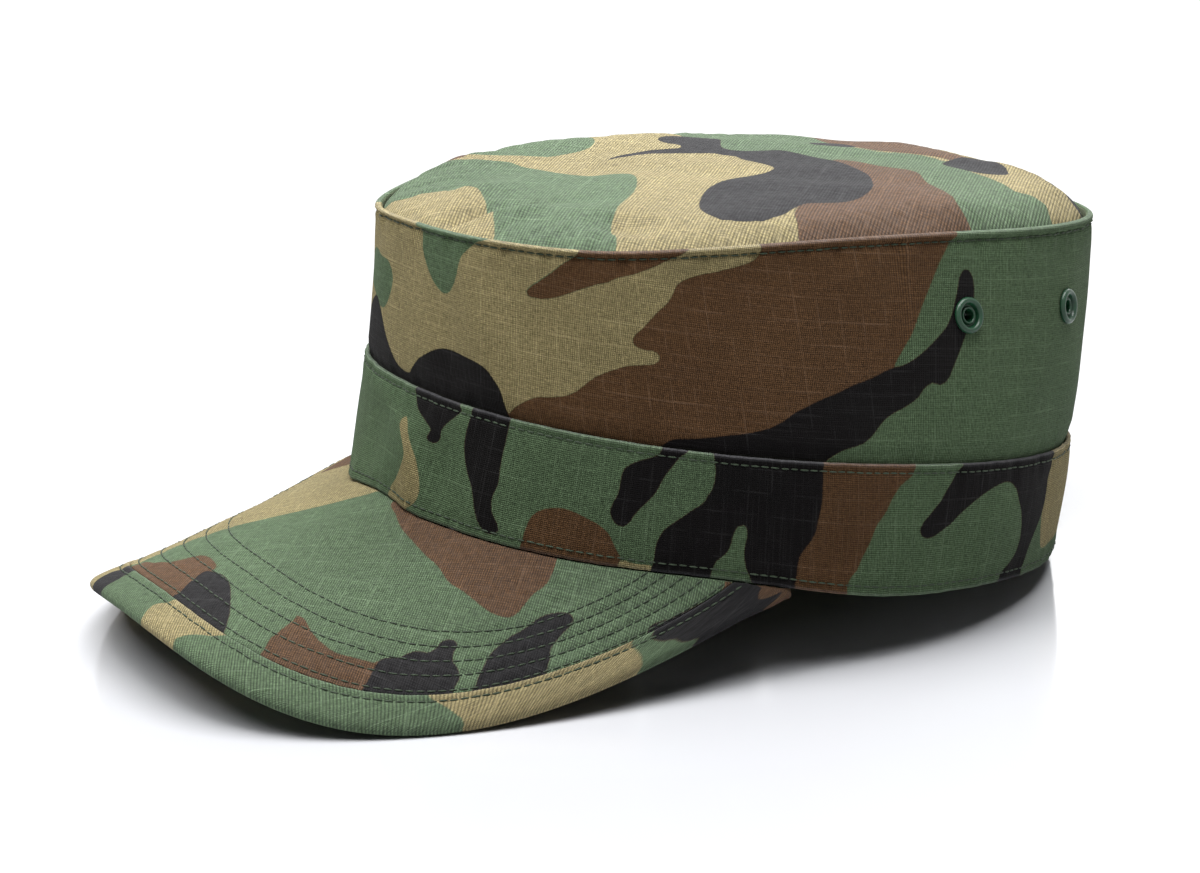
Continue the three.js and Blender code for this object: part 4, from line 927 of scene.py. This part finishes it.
def make_top_panel():
    spread = np.linspace(-180, 180, TOP_STEPS, endpoint=False)
    shoulder = np.sqrt(np.sin(np.linspace(math.asin(0.66), math.pi / 2, 22)))
    reaches = np.concatenate([np.linspace(0.03, 0.8, 44), shoulder])
    angle = spread[:, None] + 0 * reaches[None, :]
    reach = reaches[None, :] + 0 * angle
    outer = top_point(angle, reach)
    round_length = np.interp(angle, ROUND_TABLE, ROUND_ARC)
    near_edge = smoothstep(reach, 0.72, 0.93) * (1 - smoothstep(reach, 0.97, 1.0))
    inland = 1 - smoothstep(reach, 0.85, 0.98)
    outer[..., 2] += TOP_PUCKER * ripple(round_length, 0 * reach, PUCKERS) * near_edge
    outer[..., 2] += TOP_WAVE * ripple(outer[..., 0], outer[..., 1], SLOW_WAVES) * inland
    drop = np.array([0, 0, DOME_FOOT + TOP_SEAM_DEPTH + TOP_SKIRT])
    skirt = [(ring_point("rim", spread, TOP_INSET + depth) - drop)[:, None] for depth in (0, CROWN_WALL)]
    inner = np.linspace(0.97, 0.06, 22)
    under = top_point(spread[:, None] + 0 * inner[None, :], inner[None, :] + 0 * spread[:, None])
    under[..., 2] -= CROWN_WALL
    grid = np.concatenate([outer, *skirt, under], 1)
    rows = grid.shape[1]
    middle = top_point(np.array(0.0), np.array(0.0))
    poles = np.stack([middle, middle - np.array([0, 0, CROWN_WALL])])
    poles[0, 2] += TOP_WAVE * ripple(middle[0], middle[1], SLOW_WAVES)
    points = np.concatenate([grid.reshape(-1, 3), poles])
    quads = ring_quads(TOP_STEPS, rows, closed=True)
    quads = quads[quads[:, 0, 1] < rows - 1]
    starts = np.arange(TOP_STEPS) * rows
    after = np.roll(starts, -1)
    upper_pole, lower_pole = len(points) - 2, len(points) - 1
    faces = [*quad_faces(quads, TOP_STEPS, rows)]
    faces += [(upper_pole, b, a) for a, b in zip(starts, after)]
    faces += [(lower_pole, a + rows - 1, b + rows - 1) for a, b in zip(starts, after)]
    places = points[:, :2]
    row = np.concatenate([np.tile(np.arange(rows), TOP_STEPS), [0, rows]])
    fields = paint(places, *TOP_PRINT)
    # The whole top is paled by a painted sheen
    fields["wear_and_sheen"] = np.full(len(points), TOP_PAINTED_SHEEN)
    fields["reverse"] = (row > len(reaches)) * REVERSE_SHARE
    cloth_map = slantwise(places[:, 0], places[:, 1], SLANT_THREADS)
    return make_object("top_panel", points, faces, cloth_map, fields)


PEAK_STEPS, PEAK_FACE_STEPS, PEAK_UNDER_STEPS = 300, 64, 34
PEAK_ARC_TABLE = np.linspace(-PEAK_END, PEAK_END, 2001)
PEAK_ARC = arc_table(peak_rim, PEAK_ARC_TABLE)
PEAK_ANGLES = np.interp(np.linspace(PEAK_ARC[0], PEAK_ARC[-1], PEAK_STEPS + 1), PEAK_ARC, PEAK_ARC_TABLE)
# Sewn rows of the peak, inward from the rim: one along the binding, then five concentric ones
PEAK_ROWS, PEAK_ROW_NARROWING = [14.0, 20.4, 26.8, 33.2, 39.7], 0.09
BINDING_ROW, BINDING_GROOVE = 8.9, 0.22
BINDING_STAND = BINDING_CLOTH + SEAM_GAP - (PEAK_THICKNESS - PEAK_TONGUE) / 2


def peak_row_inward(angle, distance):
    """Where a sewn row runs: the rows draw together a little towards the sides."""
    return distance * (1 - PEAK_ROW_NARROWING * smoothstep(np.abs(angle), 26, 50))


def peak_quilting(angle, inward):
    """How the sewn cloth of the peak rises between its rows, in puckers and slow waves."""
    rim_u = np.interp(angle, PEAK_ARC_TABLE, PEAK_ARC)
    puckered = smoothstep(inward, 10, 16) * (1 - smoothstep(inward, 42, 50))
    return (PEAK_PUCKER * ripple(rim_u, inward, PUCKERS) * puckered
            + PEAK_WAVE * ripple(rim_u, inward, SLOW_WAVES) * smoothstep(inward, 12, 30))


def strip_faces(rows):
    """Quads along the peak between the loops of a section, and a face that closes each end."""
    quads = quad_faces(ring_quads(PEAK_STEPS + 1, rows, closed=False), PEAK_STEPS + 1, rows)
    return [*quads, range(rows), PEAK_STEPS * rows + np.arange(rows)[::-1]]


def make_peak():
    angle = PEAK_ANGLES
    width = peak_width(angle)
    level = 0 * width
    root = width + BAND_WALL
    step = np.minimum(BINDING_WIDTH, root - 2 * MIN_LEDGE - BUTT_GAP) + BUTT_GAP
    seam = np.maximum(width, step + MIN_LEDGE)
    trimmed = smoothstep(np.abs(angle), TONGUE_END - TONGUE_RUNOUT, TONGUE_END)
    tip = (BINDING_CLOTH + SEAM_GAP) * (1 - trimmed) + (step - MIN_LEDGE) * trimmed
    tongue = -(PEAK_THICKNESS - PEAK_TONGUE) / 2
    ledge = np.minimum(0.4, (step - tip) * 0.8)
    edge = [(step - ledge * 0.35, level - 0.12), (step - ledge * 0.8, level - 0.5),
            (step - ledge, level + tongue), (tip, level + tongue)]

    def face_rows(count):
        steps = [(seam + (step - seam) * share, level) for share in np.linspace(0, 1, count)]
        return [(root, level), *steps, *edge]

    upper, lower = face_rows(PEAK_FACE_STEPS), face_rows(PEAK_UNDER_STEPS)
    inward = np.stack([row[0] for row in upper] + [row[0] for row in reversed(lower)], -1)
    lift = np.stack([row[1] for row in upper] + [-PEAK_THICKNESS - row[1] for row in reversed(lower)], -1)
    wide = angle[:, None] + 0 * inward
    groove = sum(bell(inward - peak_row_inward(wide, row), 1.0) for row in PEAK_ROWS)
    on_face = (lift == 0) * smoothstep(width[:, None] - inward, 0.5, 4)
    points = peak_point(wide, inward, lift + (peak_quilting(wide, inward) - STITCH_GROOVE * groove) * on_face)
    rows = inward.shape[1]
    places = peak_face(wide, inward)[..., :2].reshape(-1, 2)
    under = np.tile(np.arange(rows) >= len(upper), PEAK_STEPS + 1)
    fields = paint(np.where(under[:, None], places * [-1, 1], places), *PEAK_PRINT)
    # The whole peak is paled by a painted sheen
    fields["wear_and_sheen"] = np.full(len(places), PEAK_PAINTED_SHEEN)
    fields["reverse"] = np.zeros(len(places))
    cloth_map = slantwise(places[:, 0], places[:, 1], PEAK_THREADS)
    return make_object("peak_cloth", points, strip_faces(rows), cloth_map, fields)


# Upper half of the binding's section: inward from the rim and lift over the peak's face
BINDING_SECTION = [(1.0, -1.0), (3.5, -1.0), (7.5, -1.0), (11.0, -1.0), (11.48, -0.85), (11.5, -0.5),
                   (11.35, -0.15), (10.9, 0.02), (10.2, 0.04), (9.6, -0.06), (BINDING_ROW, -BINDING_GROOVE),
                   (8.2, -0.06), (7.4, 0.06), (6.0, 0.1), (4.4, 0.1), (3.0, 0.06), (1.9, -0.06), (1.1, -0.3),
                   (0.5, -0.66), (0.12, -1.02)]
BINDING_INSIDE_ROWS = 8
BINDING_SHOWN_FROM, BINDING_FAR_TURN = -60, (-45, 11)


def make_peak_binding():
    profile = smooth_run(BINDING_SECTION, 2)
    angle, width = PEAK_ANGLES, peak_width(PEAK_ANGLES)[:, None]
    edge = np.minimum(BINDING_WIDTH, width + BAND_WALL - 2 * MIN_LEDGE - BUTT_GAP)
    base = profile[None, :, 0]
    drawn_in = (edge - BINDING_NOSE) / (BINDING_WIDTH - BINDING_NOSE)
    inward = np.where(base > BINDING_NOSE, BINDING_NOSE + (base - BINDING_NOSE) * drawn_in, base)
    proud = BINDING_STAND * (smoothstep(width - inward, 0, BINDING_FLUSH_RUN) - 1)
    rim_u = np.interp(angle, PEAK_ARC_TABLE, PEAK_ARC)[:, None] + 0 * inward
    pucker = BINDING_PUCKER * ripple(rim_u, inward, PUCKERS) * bell(base - BINDING_ROW, 3.0)
    outside = np.arange(len(profile)) >= BINDING_INSIDE_ROWS
    upper = profile[None, :, 1] + np.where(outside, proud + pucker, 0) + BINDING_STAND
    inward = np.concatenate([inward, 0 * width, inward[:, ::-1]], 1)
    lift = np.concatenate([upper, 0 * width - PEAK_THICKNESS / 2, -PEAK_THICKNESS - upper[:, ::-1]], 1)
    wide = angle[:, None] + 0 * inward
    u = np.interp(wide, PEAK_ARC_TABLE, PEAK_ARC)
    v = np.concatenate([profile[:, 0], [0], -profile[::-1, 0]])[None, :] + 0 * u
    places = np.stack([u, np.abs(v)], -1).reshape(-1, 2)
    shown = np.clip((places[:, 0] - BINDING_SHOWN_FROM) / PRINT_JOIN, 0, 1)
    fields = near_and_far(places, BINDING_PRINT, BINDING_FAR_TURN, shown)
    # A painted sheen over the binding, with real wear paling its rim
    fields["wear_and_sheen"] = PEAK_PAINTED_SHEEN + 0.4 * bell(places[:, 1] - 11.3, 0.5)
    fields["reverse"] = np.zeros(len(places))
    cloth_map = slantwise(u, v, PEAK_THREADS).reshape(-1, 2)
    points = peak_point(wide, inward, lift)
    return make_object("peak_binding", points, strip_faces(inward.shape[1]), cloth_map, fields)


# Sewn rows, by Geometry Nodes along paths on the cloth

STITCH = {"Stitch Length": 2.35 * MM, "Stitch Gap": 0.3 * MM, "Thread Width": 0.5 * MM, "Seed": 7}


def stitch_tree():
    """Stitches laid along a path: one spindle of thread for each, with a little play in its length."""
    tree = bpy.data.node_groups.new("sewn_row", "GeometryNodeTree")
    tree.interface.new_socket("Path", in_out="INPUT", socket_type="NodeSocketGeometry")
    for name in ("Stitch Length", "Stitch Gap", "Thread Width"):
        tree.interface.new_socket(name, in_out="INPUT", socket_type="NodeSocketFloat")
    tree.interface.new_socket("Seed", in_out="INPUT", socket_type="NodeSocketInt")
    tree.interface.new_socket("Thread", in_out="INPUT", socket_type="NodeSocketMaterial")
    tree.interface.new_socket("Stitches", in_out="OUTPUT", socket_type="NodeSocketGeometry")
    given = add_node(tree, "NodeGroupInput")
    length = given.outputs["Stitch Length"]
    pitch = add_node(tree, MATH, {0: length, 1: given.outputs["Stitch Gap"]}, operation="ADD")
    curve = add_node(tree, "GeometryNodeMeshToCurve", {"Mesh": given.outputs["Path"]})
    spaced = add_node(tree, "GeometryNodeResampleCurve", {"Curve": curve, "Length": pitch}, mode="LENGTH")
    along = add_node(tree, "GeometryNodeInputTangent")
    aligned = add_node(tree, "FunctionNodeAlignRotationToVector", {"Vector": along}, axis="Z")
    play = add_node(tree, "FunctionNodeRandomValue", {"Seed": given.outputs["Seed"]}, data_type="FLOAT")
    play.inputs[2].default_value, play.inputs[3].default_value = 0.86, 1.06
    half = add_node(tree, MATH, {0: length, 1: 0.5}, operation="MULTIPLY")
    long = add_node(tree, MATH, {0: half, 1: play.outputs[1]}, operation="MULTIPLY")
    thick = add_node(tree, MATH, {0: given.outputs["Thread Width"], 1: 0.5}, operation="MULTIPLY")
    size = add_node(tree, "ShaderNodeCombineXYZ", {0: thick, 1: thick, 2: long})
    spindle = add_node(tree, "GeometryNodeMeshUVSphere", {"Segments": 6, "Rings": 5, "Radius": 1.0})
    laid = add_node(tree, "GeometryNodeInstanceOnPoints", {
        "Points": spaced, "Instance": spindle, "Rotation": aligned, "Scale": size})
    real = add_node(tree, "GeometryNodeRealizeInstances", {0: laid})
    smooth = add_node(tree, "GeometryNodeSetShadeSmooth", {0: real})
    finished = add_node(tree, "GeometryNodeSetMaterial", {0: smooth, "Material": given.outputs["Thread"]})
    add_node(tree, "NodeGroupOutput", {0: finished})
    return tree


def run_nodes(name, mesh, tree, values):
    """The plain mesh that a node tree makes from a starting mesh."""
    carrier = bpy.data.objects.new(name + "_carrier", mesh)
    bpy.context.scene.collection.objects.link(carrier)
    modifier = carrier.modifiers.new("nodes", "NODES")
    modifier.node_group = tree
    for item in tree.interface.items_tree:
        if item.in_out == "INPUT" and item.name in values:
            modifier[item.identifier] = values[item.name]
    graph = bpy.context.evaluated_depsgraph_get()
    made = bpy.data.meshes.new_from_object(carrier.evaluated_get(graph))
    bpy.data.objects.remove(carrier)
    made.name = name
    piece = bpy.data.objects.new(name, made)
    bpy.context.scene.collection.objects.link(piece)
    return piece


def sew(name, paths, **changes):
    """A piece of thread with a row of stitches along each path, given as its points and whether it closes."""
    mesh = bpy.data.meshes.new(name + "_path")
    points, edges = [], []
    for path, closed in paths:
        start = len(points)
        points += to_row(path).tolist()
        edges += [(start + i, start + i + 1) for i in range(len(path) - 1)]
        if closed:
            edges.append((start + len(path) - 1, start))
    mesh.from_pydata(points, edges, [])
    return run_nodes(name, mesh, STITCH_TREE, {**STITCH, **changes, "Thread": THREAD})


STITCH_TREE = stitch_tree()
THREAD_LIFT, WELT_STITCH_INSET, HEAD_STITCH_INSET = 0.12, 0.5, 0.05
PEAK_ROW_STEPS, PEAK_ROW_END, BINDING_ROW_END = 900, 0.3, 1.5


def sew_rows():
    pucker = WELT_PUCKER * ripple(ROUND_U, WELT_STITCH, PUCKERS)
    welt = crown_wall_point(ROUND_ANGLES, np.full(ROUND_STEPS, WELT_STITCH),
                            WELT_STITCH_INSET - THREAD_LIFT - pucker)

    def band_row(height, inset, depth):
        pull = BAND_PUCKER * ripple(ROUND_U + BAND_PHASE, height, PUCKERS) * (inset < 1)
        return band_point(ROUND_ANGLES, np.full(ROUND_STEPS, height), inset + depth - pull)

    head = band_row(BAND_HEAD_STITCH, HEAD_STITCH_INSET + STITCH_GROOVE, -THREAD_LIFT)
    foot = band_row(BAND_FOOT_STITCH, FOOT_GROOVE_SHARE * STITCH_GROOVE, -THREAD_LIFT)
    inside = band_row(BAND_FOOT_STITCH, BAND_WALL, THREAD_LIFT)
    upper, lower = [], []
    fine = np.interp(np.linspace(PEAK_ARC[0], PEAK_ARC[-1], PEAK_ROW_STEPS), PEAK_ARC, PEAK_ARC_TABLE)
    for row in PEAK_ROWS:
        inward = peak_row_inward(fine, row)
        shown = inward < peak_width(fine) - PEAK_ROW_END
        angle, inward = fine[shown], inward[shown]
        faded = smoothstep(peak_width(angle) - inward, 0.5, 4)
        lift = (peak_quilting(angle, inward) - STITCH_GROOVE) * faded + THREAD_LIFT
        upper.append((peak_point(angle, inward, lift), False))
        lower.append((peak_point(angle, inward, 0 * angle - PEAK_THICKNESS - THREAD_LIFT), False))
    angle = fine[peak_width(fine) + BAND_WALL > BINDING_ROW + BINDING_ROW_END]
    inward, width = np.full(len(angle), BINDING_ROW), peak_width(angle)
    stand = BINDING_STAND * smoothstep(width - inward, 0, BINDING_FLUSH_RUN) * (width > BINDING_ROW)
    pucker = BINDING_PUCKER * ripple(np.interp(angle, PEAK_ARC_TABLE, PEAK_ARC), inward, PUCKERS)
    lift = stand - BINDING_GROOVE + THREAD_LIFT
    binding = [(peak_point(angle, inward, lift + pucker), False),
               (peak_point(angle, inward, -PEAK_THICKNESS - lift), False)]
    return [sew("stitches_welt", [(welt, True)]), sew("stitches_band_head", [(head, True)], Seed=11),
            sew("stitches_band_foot", [(foot, True), (inside, True)], Seed=13),
            sew("stitches_peak", upper + lower, Seed=17), sew("stitches_binding", binding, Seed=19)]


# Eyelets, by Geometry Nodes: a pressed profile swept round

EYELET_AXIS_RADIUS, EYELET_STEPS = 10.0, 48
EYELET_PROFILE = [(1.65, -1.3), (1.62, 0.2), (1.72, 0.75), (2.0, 0.95), (2.25, 0.75), (2.4, 0.3), (2.7, 0.15),
                  (2.95, 0.5), (3.15, 1.2), (3.5, 1.65), (3.95, 1.78), (4.4, 1.6), (4.7, 1.2), (4.8, 0.8),
                  (4.7, 0.5), (4.4, 0.35), (3.6, 0.3), (3.15, 0.2), (3.1, -0.9), (3.1, -2.3), (3.7, -2.32),
                  (4.0, -2.5), (4.0, -2.75), (3.75, -2.95), (2.6, -2.95), (1.9, -2.75)]


def eyelet_tree():
    """A closed profile, drawn beside the axis, swept round it."""
    tree = bpy.data.node_groups.new("pressed_eyelet", "GeometryNodeTree")
    tree.interface.new_socket("Profile", in_out="INPUT", socket_type="NodeSocketGeometry")
    tree.interface.new_socket("Steps Round", in_out="INPUT", socket_type="NodeSocketInt")
    tree.interface.new_socket("Paint", in_out="INPUT", socket_type="NodeSocketMaterial")
    tree.interface.new_socket("Eyelet", in_out="OUTPUT", socket_type="NodeSocketGeometry")
    given = add_node(tree, "NodeGroupInput")
    profile = add_node(tree, "GeometryNodeMeshToCurve", {"Mesh": given.outputs["Profile"]})
    axis = add_node(tree, "GeometryNodeCurvePrimitiveCircle", {"Resolution": given.outputs["Steps Round"],
                                                               "Radius": EYELET_AXIS_RADIUS * MM})
    swept = add_node(tree, "GeometryNodeCurveToMesh", {"Curve": axis, "Profile Curve": profile})
    real = add_node(tree, "GeometryNodeRealizeInstances", {0: swept})
    smooth = add_node(tree, "GeometryNodeSetShadeSmooth", {0: real})
    finished = add_node(tree, "GeometryNodeSetMaterial", {0: smooth, "Material": given.outputs["Paint"]})
    add_node(tree, "NodeGroupOutput", {0: finished})
    return tree


EYELET_TREE = eyelet_tree()


def make_eyelet(place):
    """An eyelet on the crown wall, its axis square to the cloth."""
    turn = EYELETS[place]
    level = EYELET_LEVEL * WALL_HEIGHT
    spot = lambda angle, height: crown_wall_point(np.array(angle), np.array(height), np.array(0.0))
    middle = (spot(turn + EYELET_TURN, level) + spot(turn - EYELET_TURN, level)) / 2
    around = spot(turn + EYELET_TURN, level) - spot(turn - EYELET_TURN, level)
    up = spot(turn, level + EYELET_RISE * WALL_HEIGHT) - spot(turn, level - EYELET_RISE * WALL_HEIGHT)
    out = np.cross(around, up)
    out = out / np.linalg.norm(out)
    if out @ (middle * [1, 1, 0]) < 0:
        out = -out
    loop = smooth_run(EYELET_PROFILE, 2, closed=True)
    mesh = bpy.data.meshes.new("eyelet_profile")
    shown = np.stack([loop[:, 0] - EYELET_AXIS_RADIUS, -loop[:, 1], 0 * loop[:, 0]], -1) * MM
    mesh.from_pydata(shown.tolist(), [(i, (i + 1) % len(loop)) for i in range(len(loop))], [])
    given = {"Steps Round": EYELET_STEPS, "Paint": ENAMEL}
    piece = run_nodes("eyelet_ring_" + place, mesh, EYELET_TREE, given)
    co = np.zeros(len(piece.data.vertices) * 3)
    piece.data.vertices.foreach_get("co", co)
    tilt = Vector((0, 0, 1)).rotation_difference(Vector(out)).to_matrix()
    local = co.reshape(-1, 3) / MM
    turned_points = local @ np.array(tilt).T + middle
    piece.data.vertices.foreach_set("co", to_row(turned_points).astype(np.float32).ravel())
    piece.data.update()
    return piece


# The cap put together

PIECES = [
    (make_crown_wall(), ["crown_side"]),
    (make_band(), ["band"]),
    (make_top_panel(), ["crown_top"]),
    (make_peak(), ["visor"]),
    (make_peak_binding(), ["visor_binding"]),
]
for piece, nodes in PIECES:
    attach(piece, "root")
    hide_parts(*nodes)
for place in EYELETS:
    eyelet = make_eyelet(place)
    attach(eyelet, "root")
    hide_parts("eyelet_" + place)
for row in sew_rows():
    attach(row, "root")

# Floor, world and lights

FLOOR_REACH, SURROUND_FILL, SURROUND_GLOW, SWEEP_START, SWEEP_END = 6.0, 0.05, 1.15, 0.14, 0.5


def make_floor():
    mesh = bpy.data.meshes.new("floor")
    corners = [(x * FLOOR_REACH, y * FLOOR_REACH, 0) for x, y in ((-1, -1), (1, -1), (1, 1), (-1, 1))]
    mesh.from_pydata(corners, [], [(0, 1, 2, 3)])
    material, tree = new_material("white_studio_table")
    shader = add_node(tree, "ShaderNodeBsdfPrincipled", {
        "Base Color": hex_linear("#c9cace"), "Roughness": 0.12, "IOR": 1.45})
    # Beyond the cap the table runs into a glowing white sweep. Starting close to the cap, its glow also
    # paints the outer part of the cap's shadow lighter.
    place = add_node(tree, "ShaderNodeTexCoord").outputs["Object"]
    away = add_node(tree, VECTOR_MATH, {0: place}, operation="LENGTH").outputs["Value"]
    sweep = add_node(tree, "ShaderNodeMapRange", {
        "Value": away, "From Min": SWEEP_START, "From Max": SWEEP_END})
    glow = add_node(tree, "ShaderNodeEmission", {"Color": hex_linear("#ffffff"), "Strength": SURROUND_GLOW})
    blend = add_node(tree, "ShaderNodeMixShader", {0: sweep, 1: shader, 2: glow})
    add_node(tree, "ShaderNodeOutputMaterial", {0: blend})
    mesh.materials.append(material)
    floor = bpy.data.objects.new("floor", mesh)
    bpy.context.scene.collection.objects.link(floor)


def make_world():
    """A white surround that the camera and glossy surfaces see brightly lit; it hardly lights the cap."""
    world = bpy.data.worlds.new("white_surround")
    world.use_nodes = True
    world.node_tree.nodes.clear()
    tree = world.node_tree
    path = add_node(tree, "ShaderNodeLightPath")
    seen = add_node(tree, MATH, {0: path.outputs["Is Camera Ray"], 1: path.outputs["Is Glossy Ray"]},
                    operation="MAXIMUM")
    strength = add_node(tree, "ShaderNodeMapRange", {
        "Value": seen, "To Min": SURROUND_FILL, "To Max": SURROUND_GLOW})
    glow = add_node(tree, "ShaderNodeBackground", {"Color": hex_linear("#ffffff"), "Strength": strength})
    add_node(tree, "ShaderNodeOutputWorld", {0: glow})
    bpy.context.scene.world = world


def area_light(name, turn, rise, away, size, watts):
    """A soft light seen from the cap at a turn from the camera's azimuth, right positive, and a rise."""
    azimuth, height = math.radians(CAMERA_TURN + turn), math.radians(rise)
    level = math.cos(height)
    spot = Vector((math.sin(azimuth) * level, -math.cos(azimuth) * level, math.sin(height)))
    data = bpy.data.lights.new(name, "AREA")
    data.shape = "RECTANGLE"
    data.size, data.size_y = size
    data.energy = watts
    light = bpy.data.objects.new(name, data)
    light.location = spot * away
    light.rotation_euler = spot.to_track_quat("Z", "Y").to_euler()
    bpy.context.scene.collection.objects.link(light)


make_floor()
make_world()
area_light("overhead", 150, 87, 1.2, (1.0, 1.0), 23)
area_light("behind", 165, 35, 1.3, (0.8, 0.8), 9)
area_light("left", -75, 60, 1.1, (0.6, 0.6), 8)
bpy.context.scene.view_settings.view_transform = "Standard"
